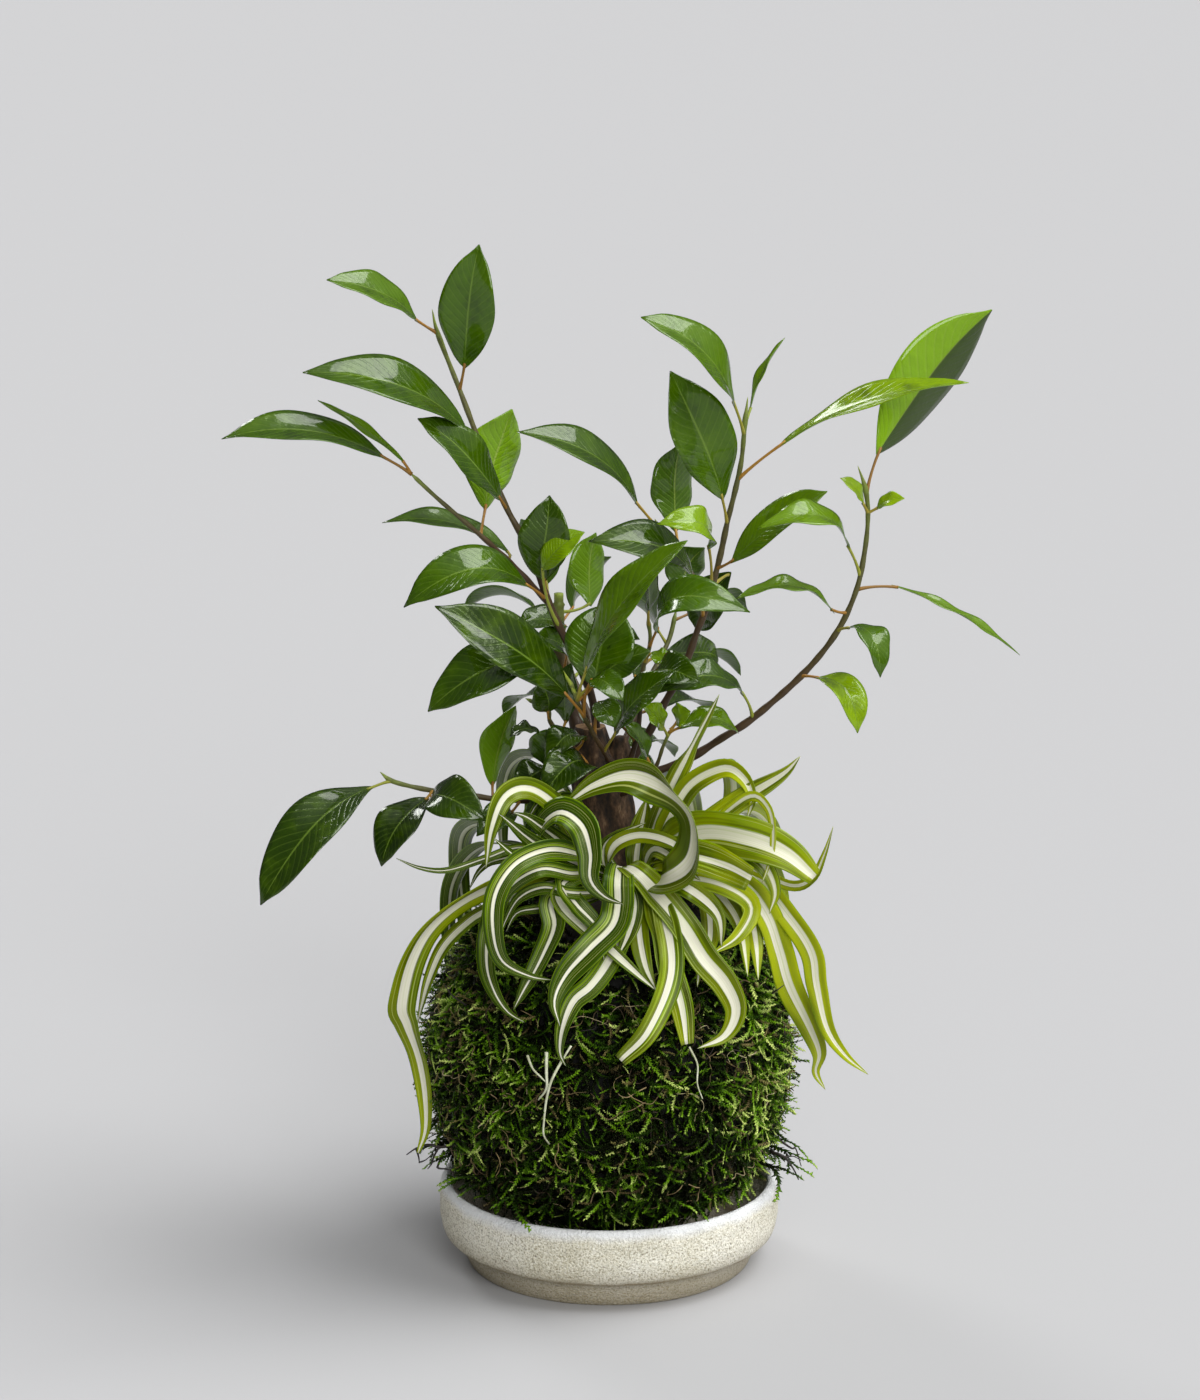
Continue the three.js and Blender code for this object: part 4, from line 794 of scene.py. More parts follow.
def stoneware_material():
    n = Nodes("stoneware")
    height = n.new("ShaderNodeSeparateXYZ")
    n.put(height.inputs[0], n.position())
    up = n.times(height.outputs[2], 1 / 0.04)  # 1 lies a little above the lip
    wash = n.ramp(n.noise(28, 4), (0.3, "#d9d3bb"), (0.55, "#eae6d4"), (0.75, "#f4f1e6"))
    grain = n.noise(1500, 3, 0.7)
    colour = n.paint(wash, "#938868", grain, (0.38, 0.8), (0.48, 0.0))
    colour = n.paint(colour, "#fffdf2", grain, (0.52, 0.0), (0.64, 0.7))
    specks = n.noise(900, 2, 0.5)
    patches = n.ramp(n.noise(90, 3), (0.45, 0.35), (0.6, 0.85))
    colour = n.mix(n.times(n.ramp(specks, (0.63, 0.0), (0.69, 1.0)), patches), colour, "#655842")
    # The lip is painted near white, a painted highlight where light falls on its top. Below the band the
    # foot is painted darker, for dirt and for painted shadow from the ledge, darkest in a line just under
    # it.
    high = n.plus(up, n.times(n.noise(60, 3), 0.12))
    colour = n.paint(colour, "#eceef0", high, (0.76, 0.0), (0.84, 0.85))
    low = n.minus(up, n.times(n.noise(90, 4), 0.1))
    dirt_and_shade = ((0.0, 0.65), (0.17, 0.5), (0.215, 0.95), (0.27, 0.3), (0.42, 0.0))
    colour = n.paint(colour, "#8d7d5c", low, *dirt_and_shade)
    pits = n.plus(n.noise(1100, 3, 0.6), n.noise(160, 4))
    n.bump(pits, 1.3, 0.9)
    return n.surface(colour, n.plus(0.6, n.times(specks, 0.3)), Specular_IOR_Level=0.35)


# ---------------------------------------------------------------- ficus


def leaf_outline(s):
    return np.sin(np.pi * s**1.04) ** 0.88 * (1 - 0.35 * smoothstep((s - 0.86) / 0.14))


def ficus_leaf(leaves, stalks, random, foot, base, tip, width, arch, roll, tint):
    """One leaf: a blade arched along its rib, and the stalk that carries it."""
    base, tip = np.array(base, float), np.array(tip, float)
    axis = unit(tip - base)
    upward = unit(np.cross(axis, FRONT))
    if upward[2] < 0:
        upward = -upward
    angle = math.radians(roll)
    face = square_to(axis, FRONT) * math.cos(angle) + upward * math.sin(angle)
    side = np.cross(axis, face)
    bend = (base + tip) / 2 + face * 2 * arch

    s = np.linspace(0.004, 0.996, 27)
    t = s[:, None]
    path = bezier(base, bend, tip, t)
    # The rib sways a little from side to side.
    sway = (random.random() - 0.5) * 0.05 * width
    path = path + side * (sway * np.sin(2 * np.pi * t))
    along = tangents(path)
    normal = unit(np.cross(side, along))
    normal = np.where((normal @ face)[:, None] < 0, -normal, normal)
    half = width / 2 * leaf_outline(s) + EDGE
    waves = (0.35 + 0.5 * random.random(), 1.5 + 1.5 * random.random(), 6.3 * random.random())
    side = np.cross(along, normal)
    rings, values = blade_rings(path, normal, side, half, LEAF_FOLD, LEAF_THICKNESS, 11, waves)
    leaves.loft(rings, tint=tint, **values)

    # The stalk runs a little way into the blade.
    end = bezier(base, bend, tip, 0.05)
    knee = foot + (base - foot) * 0.62 - axis * 0.12 * np.linalg.norm(base - foot)
    u = np.linspace(0, 1, 9)[:, None]
    stalk = bezier(foot, knee, end, u)
    radii = STALK_RADIUS * (1.25 - 0.5 * np.sin(np.pi * u[:, 0] * 0.8))
    stalks.loft(tube_rings(stalk, radii, 7), along=u, stalk=1.0, tint=random.random())


def twig_rings(points, radius):
    """A tapering twig with slight knots, ending in a pointed bud."""
    count = 12 * len(points)
    path = spline(points, count)
    s = np.linspace(0, 1, count)
    radii = radius[0] + (radius[1] - radius[0]) * s
    radii = radii * (1 + 0.07 * np.sin(s * 9 * len(points)) + 0.05 * np.sin(s * 41 + 1))
    point = 0.08 + 0.92 * np.clip((1 - s) / 0.07, 0, 1) ** 0.6
    swelling = 1 + 0.35 * np.exp(-((s - 0.95) / 0.02) ** 2)
    radii = radii * point * swelling
    return path, radii, s


def add_stem(name, materials):
    """A twig with its branches and leaves, as two pieces that replace the twig's node."""
    own = [name] + [branch for branch, parent in BRANCHES.items() if parent == name]
    count = sum(len(TWIGS[each]["leaves"]) for each in own)
    leaves = Body(cells=math.ceil(math.sqrt(count)))
    twigs = Body(cells=math.ceil(math.sqrt(count + 2)))
    random = np.random.default_rng(sum(map(ord, name)))
    for each in own:
        twig = TWIGS[each]
        path, radii, s = twig_rings(twig["points"], twig["radius"])
        if each == "stem_stub":  # cut off, so it has no bud
            radii = np.where(s > 0.93, twig["radius"][1] * 0.9, radii)
        twigs.loft(tube_rings(path, radii, 10), along=s[:, None], stalk=0.0, tint=0.5)
        for i, (share, base, tip, width, arch, roll) in enumerate(twig["leaves"]):
            foot = spline_at(twig["points"], share)[0]
            # Leaves low down are darker, and those higher up lighter.
            tint = 0.4 * random.random() + 0.25 * smoothstep((base[2] - 210) / 130)
            tint = BRIGHT_LEAVES.get((each, i), tint)
            ficus_leaf(leaves, twigs, random, foot, base, tip, width, arch, roll, tint)
    leaves.piece(f"leaves_{name}", materials["ficus_leaf"], "ficus_leaf", name)
    twigs.piece(f"twigs_{name}", materials["twig"], "ficus_leaf", name)


def stump_rings(rings, lobe, sides, rows):
    """The stump's rings of the solids, with finer steps between them and knobbly bark."""
    x, y, z = spline([(x, y, z) for z, x, y, _ in rings], rows).T[..., None]
    heights = np.array([ring[0] for ring in rings], float)
    radii = np.interp(z, heights, [ring[3] for ring in rings])
    turn = circle(sides)
    lobes = 1 + lobe * np.sin(3 * turn + np.interp(z, heights, np.arange(len(rings))))
    knobs = 0.035 * np.sin(7 * turn + 0.19 * z) + 0.03 * np.sin(5 * turn - 0.31 * z + 1)
    r = radii * (lobes + knobs)
    return np.stack([x + r * np.cos(turn), y + r * np.sin(turn), np.broadcast_to(z, r.shape)], axis=-1)


def add_trunk(materials):
    trunk = Body(cells=2)
    rings = stump_rings(TRUNK_RINGS, lobe=0.05, sides=40, rows=70)
    top = rings[-1:]
    middle = top.mean(axis=1, keepdims=True)
    inner = [middle + (top - middle) * share for share in (0.96, 0.6, 0.25)]
    sawn = np.concatenate([np.zeros(len(rings)), np.ones(len(inner))])[:, None]
    trunk.loft(np.concatenate([rings, *inner]), sawn=sawn)
    trunk.loft(stump_rings(SIDE_STUMP_RINGS, lobe=0.03, sides=28, rows=26), sawn=0.0)
    trunk.piece("ficus_stump", materials["bark"], "bark", "ficus_trunk")


# ---------------------------------------------------------------- spider plant


def strap_outline(s, cut):
    foot = np.minimum(1, 0.35 + 2 * s)
    return foot * (1 - (1 - cut) * (np.clip(s - 0.5, 0, 1) / 0.5) ** 2.4)


def strap_roll(s, blade, phase):
    """How far a spider plant leaf is rolled about its middle line, in radians."""
    eased = smoothstep(s / 0.35)
    past_middle = smoothstep((s - 0.58) / 0.18)
    to_and_fro = STRAP_FLUTTER * np.sin(9 * s + phase)
    return np.radians((blade["turn"] + to_and_fro) * eased + blade["twist"] * past_middle)


def add_spider_plant(materials):
    plant = Body(cells=8)
    random = np.random.default_rng(11)
    for index, blade in enumerate(STRAPS):
        count = max(24, int(length_of(blade["points"]) / STRAP_STEP))
        path = spline(blade["points"], count)
        along, normal, _ = frames_along(path, square_to(tangents(path)[0], UP))
        s = np.linspace(0, 1, count)
        roll = strap_roll(s, blade, 2 * index)[:, None]
        normal = normal * np.cos(roll) + np.cross(along, normal) * np.sin(roll)
        side = np.cross(along, normal)
        half = blade["width"] / 2 * strap_outline(s, blade["cut"]) + EDGE
        fold = STRAP_FOLD * (1 - 0.4 * random.random())
        waves = (0.25 * random.random(), 2 + 2 * random.random(), 6.3 * random.random())
        rings, values = blade_rings(path, normal, side, half, fold, STRAP_THICKNESS, 13, waves)
        # Painted light: leaves further right get a higher tint and so more painted sunlight, as the light
        # comes from the right.
        painted_light_from_right = (path[:, 0].mean() - 2) / 60  # the leaves on the right are yellower
        tint = np.clip(painted_light_from_right + random.uniform(-0.1, 0.3), 0.02, 0.95)
        plant.loft(rings, tint=float(BRIGHT_STRAPS.get(index, tint)), **values)
    plant.piece("spider_plant_leaves", materials["variegated_leaf"], "variegated_leaf", "spider_plant")


# ---------------------------------------------------------------- moss ball


SHOOTS, QUICK_SHOOTS, FRONDS, THREADS = 11500, 2500, 1100, 420
SECTORS = 12  # that the shoots are parted into, one piece each
# Painted shade deep in the moss: a shoot is painted darker towards its foot.
TIP_TO_FOOT_PAINTED_SHADE = 0.85  # how much brighter a shoot's tip is than its foot
GOLDEN_ANGLE = 2.399963  # radians; points turned by it from one to the next spread evenly


def ball_points(direction, inset):
    """Points of the ball's surface in the given directions, set in by inset."""
    inset = np.reshape(inset, (-1, 1))
    flat = np.hypot(direction[:, 0], direction[:, 1])[:, None] / (BALL["radius"] - inset)
    tall = np.abs(direction[:, 2:3]) / (BALL["half_height"] - inset)
    scale = (flat ** BALL["power"] + tall ** BALL["power"]) ** (-1 / BALL["power"])
    return direction * scale + np.array([0, 0, BALL_Z])


def ball_rings(rows, around, inset, top, bottom):
    """Rings round the ball between two heights of its directions, from the lower one up."""
    polar = np.linspace(math.acos(bottom), math.acos(top), rows)[:, None]
    turn = circle(around)
    across = np.sin(polar)
    upward = np.broadcast_to(np.cos(polar), (rows, around))
    d = np.stack([across * np.cos(turn), across * np.sin(turn), upward], axis=-1).reshape(-1, 3)
    return ball_points(d, inset(d)).reshape(rows, around, 3)


def lumps(d):
    """How far the moss bulges out in each direction, from about -2 to 2, and 0 at the ball's foot."""
    x, y, z = d.T
    broad = np.sin(5.1 * x + 3.3 * z + 0.4) * np.sin(4.7 * y - 2.9 * z + 1.3)
    broad = broad + 0.5 * np.sin(8.3 * y + 7.4 * x)
    small = np.sin(23 * x + 9 * z) * np.sin(21 * y - 13 * z)
    small = small + 0.6 * np.sin(41 * z + 17 * x) * np.sin(37 * y)
    return (broad + 0.5 * small) * np.clip((z + 0.93) / 0.18, 0, 1)


def sprig_template(random, segments=7, leaflets=12, size=0.12, hook=1.2, sink=0.0):
    """A moss shoot of length 1 that starts along +Z: a curved stem with leaflets on both sides.

    It bends by up to hook radians in the XZ plane and sinks towards -Y. Returns its vertices,
    triangles and each vertex's share along the shoot.
    """
    t = np.linspace(0, 1, segments + 1)
    angle = random.uniform(0.4, 1) * random.choice([-1, 1]) * hook * t**1.4
    sway = random.uniform(0.1, 0.3) * np.sin(random.uniform(3, 6) * t + random.uniform(0, 3))
    steps = np.stack([np.sin(angle + sway), 0.2 * sway, np.cos(angle + sway)], axis=1) / segments
    path = np.cumsum(steps, axis=0) - steps[0]
    path[:, 1] -= sink * t**2
    ring = tube_rings(path, 0.12 * size * (1.1 - 0.8 * t), 3, (0, 1, 0))
    vertices, shares = [ring.reshape(-1, 3)], [np.repeat(t, 3)]
    triangles = []
    for i in range(segments):
        for j in range(3):
            a, b = 3 * i + j, 3 * i + (j + 1) % 3
            triangles += [(a, b, b + 3), (a, b + 3, a + 3)]
    triangles += [(0, 2, 1), (3 * segments, 3 * segments + 1, 3 * segments + 2)]
    along, _, side = frames_along(path, np.array([0, 1.0, 0]))
    count = 3 * (segments + 1)
    for k in range(2 * leaflets):
        share = 0.06 + 0.93 * (k // 2 + 0.5 * (k % 2)) / leaflets
        i = min(int(share * segments), segments - 1)
        foot = path[i] + (path[i + 1] - path[i]) * (share * segments - i)
        out = side[i] if k % 2 else -side[i]
        out = unit(out + 0.3 * random.normal(size=3) + 0.8 * along[i])
        reach = size * (1.15 - 0.6 * share) * random.uniform(0.7, 1.2)
        flat = square_to(out, along[i])
        thin = np.cross(out, flat)
        offsets = [flat * 0.3 * size, -flat * 0.3 * size, thin * 0.18 * size, out * reach]
        vertices.append(foot + np.array(offsets))
        shares.append(np.full(4, share))
        triangles += [tuple(count + c for c in f) for f in ((0, 1, 2), (0, 3, 1), (1, 3, 2), (2, 3, 0))]
        count += 4
    return np.vstack(vertices), np.array(triangles), np.concatenate(shares)


def add_sprigs(name, material, templates, random, feet, directions, lengths, tints, dead, across=None):
    """Many moss shoots as one mesh. Each gets a cell of the texture map of its own."""
    order = random.integers(0, len(templates), len(feet))
    if across is None:
        across = square_to(directions, unit(random.normal(size=directions.shape)))
    other = np.cross(directions, across)
    grid = math.ceil(math.sqrt(len(feet)))
    all_vertices, all_faces, all_tints, all_dead, all_uvs = [], [], [], [], []
    count = 0
    for k, (shape, triangles, shares) in enumerate(templates):
        mine = np.flatnonzero(order == k)
        basis = np.stack([across[mine], other[mine], directions[mine]], axis=1) * lengths[mine, None, None]
        placed = feet[mine, None] + np.einsum("vk,mkc->mvc", shape, basis)
        all_vertices.append(placed.reshape(-1, 3))
        starts = count + np.arange(len(mine)) * len(shape)
        all_faces.append((triangles[None] + starts[:, None, None]).reshape(-1, 3))
        count += len(mine) * len(shape)
        # Painted shade: each shoot darker towards its foot, where it lies deep in the moss.
        brighter = tints[mine, None] + TIP_TO_FOOT_PAINTED_SHADE * (shares[None] - 0.6)
        all_tints.append(np.clip(brighter, 0, 1).ravel())
        all_dead.append(np.repeat(dead[mine], len(shape)))
        corner = shares[triangles.ravel()]
        side = np.tile([0.3, 0.5, 0.7], len(triangles))
        column, row = mine % grid, mine // grid
        u = (column[:, None] + 0.1 + 0.8 * corner[None]) / grid
        v = (row[:, None] + 0.1 + 0.8 * side[None]) / grid
        all_uvs.append(np.stack([u, v], axis=-1).reshape(-1, 2))
    mesh = triangle_mesh(name, np.vstack(all_vertices), np.vstack(all_faces))
    values = {"tint": np.concatenate(all_tints), "dead": np.concatenate(all_dead)}
    add_layers(mesh, values, np.vstack(all_uvs))
    mesh.validate()
    add_piece(name, mesh, material, "moss", "moss_wrap")


def triangle_mesh(name, vertices, triangles):
    """A mesh of triangles, made at once, because there are so many."""
    mesh = bpy.data.meshes.new(name)
    mesh.vertices.add(len(vertices))
    mesh.vertices.foreach_set("co", (vertices * MM).astype(np.float32).ravel())
    mesh.loops.add(3 * len(triangles))
    mesh.loops.foreach_set("vertex_index", triangles.astype(np.int32).ravel())
    mesh.polygons.add(len(triangles))
    mesh.polygons.foreach_set("loop_start", np.arange(0, 3 * len(triangles), 3, dtype=np.int32))
    mesh.update(calc_edges=True)
    return mesh


STRAP_MIDDLES = np.vstack([spline(blade["points"], 60) for blade in STRAPS])


def near_straps(points, reach):
    """Whether each point is within reach of a spider plant leaf's middle."""
    block = 2000  # points at a time, so that the table of distances stays small
    found = np.zeros(len(points), bool)
    for start in range(0, len(points), block):
        gaps = np.linalg.norm(points[start:start + block, None] - STRAP_MIDDLES[None], axis=2)
        found[start:start + block] = gaps.min(axis=1) < reach
    return found


def ball_directions(count, random):
    """Directions spread evenly over the ball, bar its foot and the opening on top."""
    z = 0.985 - 1.86 * (np.arange(count) + random.random(count)) / count
    turn = np.arange(count) * GOLDEN_ANGLE + random.random(count) * 0.5
    flat = np.sqrt(1 - z**2)
    d = np.stack([flat * np.cos(turn), flat * np.sin(turn), z], axis=1)
    at = ball_points(d, MOSS_DEPTH)
    covered = np.hypot(at[:, 0] - OPENING["x"], at[:, 1] - OPENING["y"]) > OPENING["radius"] - 3
    return d[covered | (z < 0)]


def over_surface(d, spread, random):
    """The way out of the ball, and a way along its surface, mostly down."""
    outward = unit(d * np.array([1, 1, 0.9]))
    down = square_to(outward, -UP[None] * np.ones((len(d), 1)))
    angle = random.normal(0, spread, len(d))[:, None]
    return outward, down * np.cos(angle) + np.cross(outward, down) * np.sin(angle)


def in_gap(d):
    """Whether a direction is in one of the dark hollows between the clumps."""
    x, y, z = d.T
    broad = np.sin(11 * x + 6 * z + 1) * np.sin(12 * y - 8 * z + 2)
    small = np.sin(19 * z + 8 * x) * np.sin(17 * y + 9 * x)
    return broad + 0.8 * small > 0.55


def moss_tints(d, random):
    """Painted light: yellower at the upper left and the right, where more light falls. Lighter also on the
    bulges, and darker low down.
    """
    x, z = d[:, 0], d[:, 2]
    tints = 0.3 + 0.19 * random.normal(size=len(d)) + 0.16 * lumps(d) - 0.1 * (z < -0.45)
    upper_left, right = np.clip(-1.2 * x + 0.9 * z - 0.55, 0, 1), np.clip(x - 0.35, 0, 1)
    return tints + 0.12 * upper_left + 0.26 * right


def moss_shoots(count, random):
    """Feet, directions, lengths, tints and withering of the shoots all over the ball."""
    d = ball_directions(count, random)
    d = d[~in_gap(d) | (random.random(len(d)) < 0.25)]
    feet = ball_points(d, MOSS_DEPTH - 1.3 * lumps(d))
    outward, lying = over_surface(d, 1.25, random)
    directions = unit(lying + outward * random.uniform(0.12, 0.7, len(d))[:, None])
    lengths = random.uniform(8, 16, len(d))
    close = near_straps(feet + directions * lengths[:, None] * 0.8, 7.5) | near_straps(feet, 5.5)
    directions[close] = unit(lying[close] + 0.06 * outward[close])
    lengths[close] *= 0.6
    # Short and close to the ball where it stands in the saucer.
    low = feet[:, 2] < SAUCER["height"] + 6
    directions[low] = unit(lying[low] + 0.08 * outward[low])
    lengths[low] *= 0.62
    withered_patch = np.sin(7 * d[:, 0] + 3) * np.sin(9 * d[:, 2]) > 0.45
    dead = (random.random(len(d)) < 0.07 + 0.25 * withered_patch) * 0.85
    return feet, directions, lengths, np.clip(moss_tints(d, random), 0.02, 1), dead


def add_fronds(materials, random):
    """Long feathery fronds that curl over the shoots."""
    shape = {"segments": 16, "leaflets": 30, "size": 0.055, "hook": 3.2, "sink": 0.2}
    templates = [sprig_template(random, **shape) for _ in range(12)]
    d = ball_directions(FRONDS, random)
    outward, lying = over_surface(d, 0.9, random)
    feet, lengths = ball_points(d, 2.2), random.uniform(18, 34, len(d))
    ends = feet + 0.6 * lying * lengths[:, None]
    clear = ~near_straps(feet, 9) & ~near_straps(ends, 9) & (ends[:, 2] > SAUCER["height"] + 3)
    directions = unit(lying + 0.1 * outward)
    tints = np.clip(moss_tints(d, random) + 0.2, 0.1, 1)
    dead = (random.random(len(d)) < 0.16) * 0.9
    across = unit(np.cross(outward, directions))
    for side, here in (("left", feet[:, 0] < 0), ("right", feet[:, 0] >= 0)):
        part = [values[clear & here] for values in (feet, directions, lengths, tints, dead, across)]
        add_sprigs(f"moss_fronds_{side}", materials["moss"], templates, random, *part)


def rim_shoots(random):
    """Stray shoots that hang over the saucer's lip, more of them at the front."""
    turn = np.radians(np.concatenate([RIM_SHOOTS, random.uniform(-10, 190, 16)]))
    turn = np.concatenate([turn, turn + random.normal(0, 0.06, len(turn))])
    out = np.stack([np.cos(turn), np.sin(turn), np.zeros(len(turn))], axis=1)
    feet = ball_points(unit(out - [0, 0, 0.6]), 2)
    directions = unit(out + random.uniform([-0.7, -0.7, -0.2], [0.7, 0.7, 0.4], out.shape))
    lengths = random.uniform(8, 22, len(turn))
    across = square_to(directions, np.cross(UP, directions))
    return feet, directions, lengths, random.uniform(0.3, 0.65, len(turn)), np.zeros(len(turn)), across


def add_moss(materials):
    random = np.random.default_rng(5)
    templates = [sprig_template(random) for _ in range(16)]
    shape = {"segments": 9, "leaflets": 14, "size": 0.13, "hook": 2.0, "sink": 0.45}
    hanging = [sprig_template(random, **shape) for _ in range(10)]
    add_sprigs("moss_shoots_rim", materials["moss"], hanging, random, *rim_shoots(random))
    shoots = moss_shoots(SHOOTS, random)
    feet = shoots[0]
    sector = (np.degrees(np.arctan2(feet[:, 1], feet[:, 0])) + 180) // (360 / SECTORS)
    for k in range(SECTORS):
        part = [values[sector == k] for values in shoots]
        add_sprigs(f"moss_shoots_{k + 1}", materials["moss"], templates, random, *part)
    add_fronds(materials, random)
    felt = Body()
    outer = ball_rings(90, 140, lambda d: MOSS_DEPTH + 0.6 - lumps(d), 0.999, -0.998)
    felt.loft(outer[:-16])  # open where the plants come out
    felt.piece("moss_felt", materials["felt"], "moss", "moss_wrap")


def add_soil(materials):
    soil = Body()
    rings = ball_rings(40, 90, lambda d: 7.3 - 0.7 * lumps(2.1 * d), 0.9995, 0.3)
    soil.loft(rings)
    soil.piece("soil_top", materials["soil"], "soil", "soil_ball")


# ---------------------------------------------------------------- roots and stray shoots

# Fine pale roots that hang over the front of the ball, and dead twiglets at its sides: the radius
# at the foot, and points.
FINE_ROOTS = [
    (0.5, [(-30, -66, 102), (-28, -69, 98), (-25, -70, 95), (-22, -70, 92)]),
    (0.7, [(-23, -68, 104), (-23, -70, 97), (-23, -71, 91), (-26, -69, 86)]),
    (0.6, [(-17, -70, 102), (-21, -73, 95), (-23, -72, 87), (-24, -72, 78), (-24, -71, 73),
           (-22, -69, 69)]),
    (0.5, [(-14, -70, 107), (-16, -71, 104), (-18, -71, 100), (-20, -70, 97)]),
    (0.4, [(29, -65, 105), (32, -67, 99), (32, -68, 92), (34, -65, 85)]),
]
TWIGLETS = [
    (0.6, [(-59, -28, 54), (-64, -30, 54), (-68, -30, 55), (-73, -23, 51), (-77, -13, 45)]),
    (0.4, [(-73, -23, 51), (-72, -24, 48), (-72, -19, 44)]),
    (0.35, [(-72, -19, 44), (-69, -30, 49), (-66, -37, 54)]),
    (0.45, [(-64, -30, 54), (-66, -29, 50), (-67, -26, 46), (-69, -15, 40)]),
    (0.55, [(-63, -12, 46), (-64, -19, 45), (-65, -22, 43), (-61, -32, 46), (-59, -37, 47),
            (-58, -35, 43)]),
    (0.6, [(61, -21, 49), (66, -24, 48), (70, -15, 40), (72, -16, 36)]),
    (0.4, [(66, -24, 48), (70, -15, 45), (73, -14, 43)]),
    (0.5, [(63, -19, 54), (69, -17, 49), (71, -12, 47), (73, -15, 41)]),
    (0.4, [(-53, -37, 112), (-58, -38, 116), (-61, -38, 120)]),
    (0.4, [(-62, -26, 103), (-66, -27, 106), (-69, -27, 104)]),
    (0.4, [(-40, -38, 130), (-44, -39, 135), (-46, -39, 136)]),
    (0.4, [(58, -29, 112), (62, -32, 116), (65, -31, 118)]),
]


def wandering_thread(random):
    """A dead stem that winds over the moss, now above and now among the shoots."""
    d = unit(random.normal(size=3) * [1, 1, 0.7])
    heading = square_to(d, unit(random.normal(size=3)))
    bend, points = random.normal(0, 0.5), []
    for _ in range(9):
        points.append(ball_points(d[None], random.uniform(-0.5, 2.5))[0])
        bend = 0.6 * bend + random.normal(0, 0.35)
        heading = square_to(d, heading * math.cos(bend) + np.cross(d, heading) * math.sin(bend))
        d = unit(d + 0.036 * heading)
    return np.array(points)


def add_threads(materials):
    roots = Body(cells=4)
    for radius, points in FINE_ROOTS:
        roots.loft(tube_rings(spline(points, 30), radius * (1 - 0.5 * np.linspace(0, 1, 30)), 6))
    roots.piece("fine_roots", materials["root"], "moss")
    random = np.random.default_rng(23)
    low, high = SAUCER["height"] + 4, BALL_Z + 0.75 * BALL["half_height"]
    threads = []
    for _ in range(THREADS):
        points = wandering_thread(random)
        clear = points[:, 2].min() > low and points[:, 2].max() < high
        if clear and not near_straps(points, 7).any():
            thick = random.uniform(0.1, 0.24) * (1.1 - 0.7 * np.linspace(0, 1, 30))
            threads.append((spline(points, 30), thick, random.random()))
    stems = Body(cells=math.ceil(math.sqrt(len(TWIGLETS) + len(threads))))
    for radius, points in TWIGLETS:
        rings = tube_rings(spline(points, 16), radius * (1 - 0.6 * np.linspace(0, 1, 16)), 6)
        stems.loft(rings, tint=0.1)
    for path, thick, tint in threads:
        stems.loft(tube_rings(path, thick, 5), tint=tint)
    stems.piece("dead_stems", materials["dead_stem"], "moss")


# ---------------------------------------------------------------- saucer


def add_saucer(materials):
    """The dish turned round its axis, from the middle of its underside to that of its floor."""
    radius, height, foot_top, foot, foot_bottom, floor, inner = SAUCER.values()
    corners = [
        (0.5, 0), (foot_bottom - 0.8, 0), (foot_bottom, 0.8), (foot, foot_top - 1), (foot + 1.5, foot_top),
        (radius - 3, foot_top + 1), (radius - 1.6, foot_top + 2.4), (radius - 0.8, foot_top + 4.5),
        (radius, foot_top + 9), (radius, height - 5), (radius - 0.3, height - 3),
        (radius - 0.9, height - 1.3), (radius - 1.8, height - 0.3), (radius - 3, height - 0.3),
        (inner, height - 1.6), (inner - 1, height - 8), (inner - 5, floor + 6), (inner - 13, floor),
        (0.5, floor),
    ]
    step = 2.5
    profile = []
    for (r0, z0), (r1, z1) in zip(corners, corners[1:]):
        steps = max(1, round(math.hypot(r1 - r0, z1 - z0) / step))
        profile += [(r0 + (r1 - r0) * k / steps, z0 + (z1 - z0) * k / steps) for k in range(steps)]
    profile.append(corners[-1])
    r, z = np.array(profile).T[..., None]
    turn = circle(192)
    # The outside is a little out of true, as thrown clay is.
    wobble = 0.18 * np.sin(2 * turn + 0.6) + 0.1 * np.sin(5 * turn)
    r = r + wobble * (r > 50) - 0.15
    dish = Body()
    dish.loft(np.stack([r * np.cos(turn), r * np.sin(turn), np.broadcast_to(z, r.shape)], axis=-1))
    dish.piece("stoneware_saucer", materials["stoneware"], "stoneware", "saucer")


# ---------------------------------------------------------------- stage


# The photo's camera: its place in mm, how far it looks down in degrees, and its lens in mm.
CAMERA = {"place": [-3.5, -1500, 574.2], "pitch": 13.3, "lens": 106.05}

# Suns: name, place in metres that they shine from, how wide each looks in degrees, and strength.
SUNS = [
    ("key", (0.75, -0.05, 1.5), 44, 2.8),
    ("back_rim", (-0.6, 0.9, 1.0), 16, 0.6),
    ("front_fill", (0.3, -1.3, 0.9), 30, 1.7),
]
SUN_AIM = (0, 0, 0.2)

# The room's light: how close a direction is to the window's, up to 1, and how bright it is there.
WINDOW = [0.5, -0.15, 0.85]
ROOM_LIGHT = [(0.0, 0.08), (0.55, 0.15), (0.8, 0.6), (1.0, 1.1)]
BACKDROP = 0.64


def add_camera():
    camera = bpy.data.objects.new("camera", bpy.data.cameras.new("camera"))
    camera.location = np.array(CAMERA["place"]) * MM
    camera.rotation_euler = (math.radians(90 - CAMERA["pitch"]), 0, 0)
    camera.data.lens = CAMERA["lens"]
    camera.data.clip_end = 60
    bpy.context.scene.collection.objects.link(camera)
    bpy.context.scene.camera = camera


def add_floor():
    half = 14  # metres, so that its edge is far off
    corners = [(-half, -half, 0), (half, -half, 0), (half, half, 0), (-half, half, 0)]
    mesh = bpy.data.meshes.new("floor")
    mesh.from_pydata(corners, [], [(0, 1, 2, 3)])
    n = Nodes("floor")
    mesh.materials.append(n.surface("#aeaeaf", 0.85, Specular_IOR_Level=0.2))
    floor = bpy.data.objects.new("floor", mesh)
    bpy.context.scene.collection.objects.link(floor)


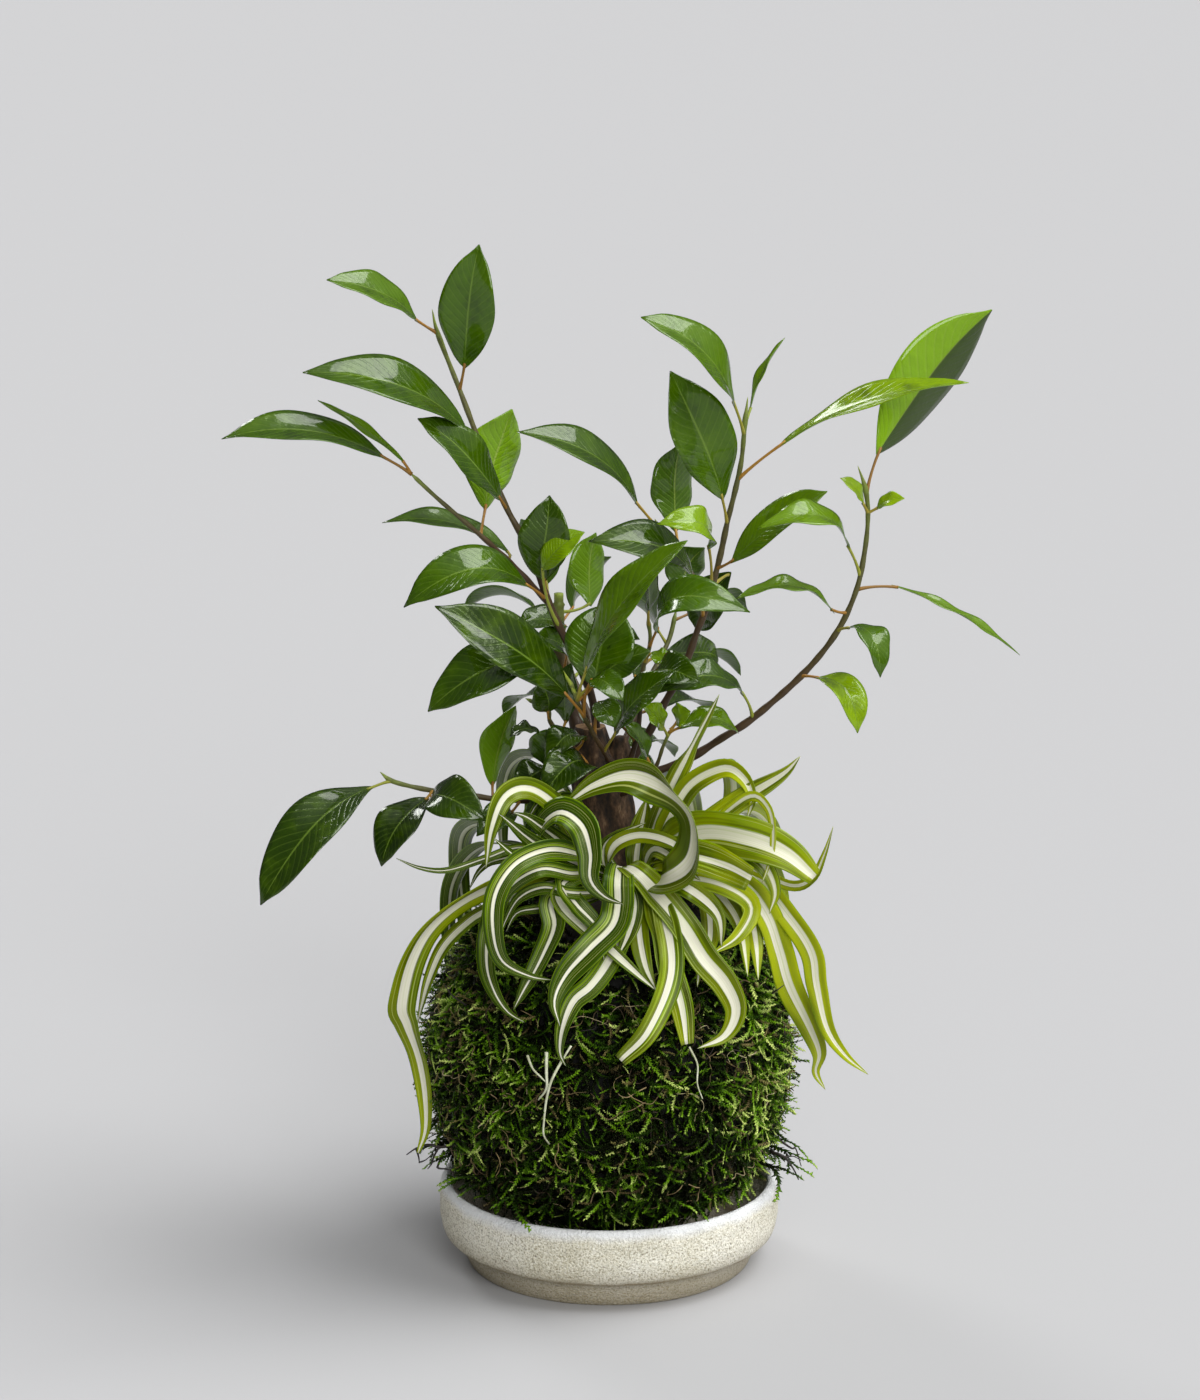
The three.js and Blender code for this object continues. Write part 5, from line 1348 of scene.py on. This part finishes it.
def add_sun(name, place, width, strength):
    light = bpy.data.lights.new(name, "SUN")
    light.angle = math.radians(width)
    light.energy = strength
    lamp = bpy.data.objects.new(name, light)
    lamp.location = place
    lamp.rotation_euler = (Vector(SUN_AIM) - Vector(place)).to_track_quat("-Z", "Y").to_euler()
    bpy.context.scene.collection.objects.link(lamp)


def add_room_light():
    """A broad soft window above, a little to the right; the rest of the room is darker."""
    world = bpy.data.worlds.new("studio")
    bpy.context.scene.world = world
    world.use_nodes = True
    nodes, link = world.node_tree.nodes, world.node_tree.links.new
    facing = nodes.new("ShaderNodeVectorMath")
    facing.operation = "DOT_PRODUCT"
    facing.inputs[1].default_value = unit(np.array(WINDOW))
    link(nodes.new("ShaderNodeTexCoord").outputs["Generated"], facing.inputs[0])
    ramp = nodes.new("ShaderNodeValToRGB")
    elements = ramp.color_ramp.elements
    elements[1].position = ROOM_LIGHT[1][0]
    for place, _ in ROOM_LIGHT[2:]:
        elements.new(place)
    for element, (_, grey) in zip(elements, ROOM_LIGHT):
        element.color = (grey, grey, 1.01 * grey, 1)
    link(facing.outputs["Value"], ramp.inputs[0])
    # The camera sees a plain pale backdrop beyond the floor's edge.
    seen = nodes.new("ShaderNodeMix")
    seen.data_type = "RGBA"
    factor, room, backdrop = (seen.inputs[place] for place in MIX_COLOUR_INPUTS)
    backdrop.default_value = rgba(BACKDROP)
    link(nodes.new("ShaderNodeLightPath").outputs["Is Camera Ray"], factor)
    link(ramp.outputs[0], room)
    link(seen.outputs[MIX_COLOUR_OUTPUT], nodes["Background"].inputs["Color"])


# ---------------------------------------------------------------- assembly

materials = {
    "ficus_leaf": ficus_leaf_material(),
    "variegated_leaf": strap_material(),
    "twig": twig_material(),
    "bark": bark_material(),
    "moss": moss_material(),
    "felt": felt_material(),
    "soil": soil_material(),
    "root": root_material(),
    "dead_stem": dead_stem_material(),
    "stoneware": stoneware_material(),
}

add_camera()
add_saucer(materials)
add_soil(materials)
add_moss(materials)
add_threads(materials)
add_trunk(materials)
for stem in TWIGS:
    if stem not in BRANCHES:
        add_stem(stem, materials)
add_spider_plant(materials)
add_floor()
add_room_light()
for sun in SUNS:
    add_sun(*sun)
# Blender's usual view transform would grey the strong greens and the white stripes.
bpy.context.scene.view_settings.view_transform = "Standard"
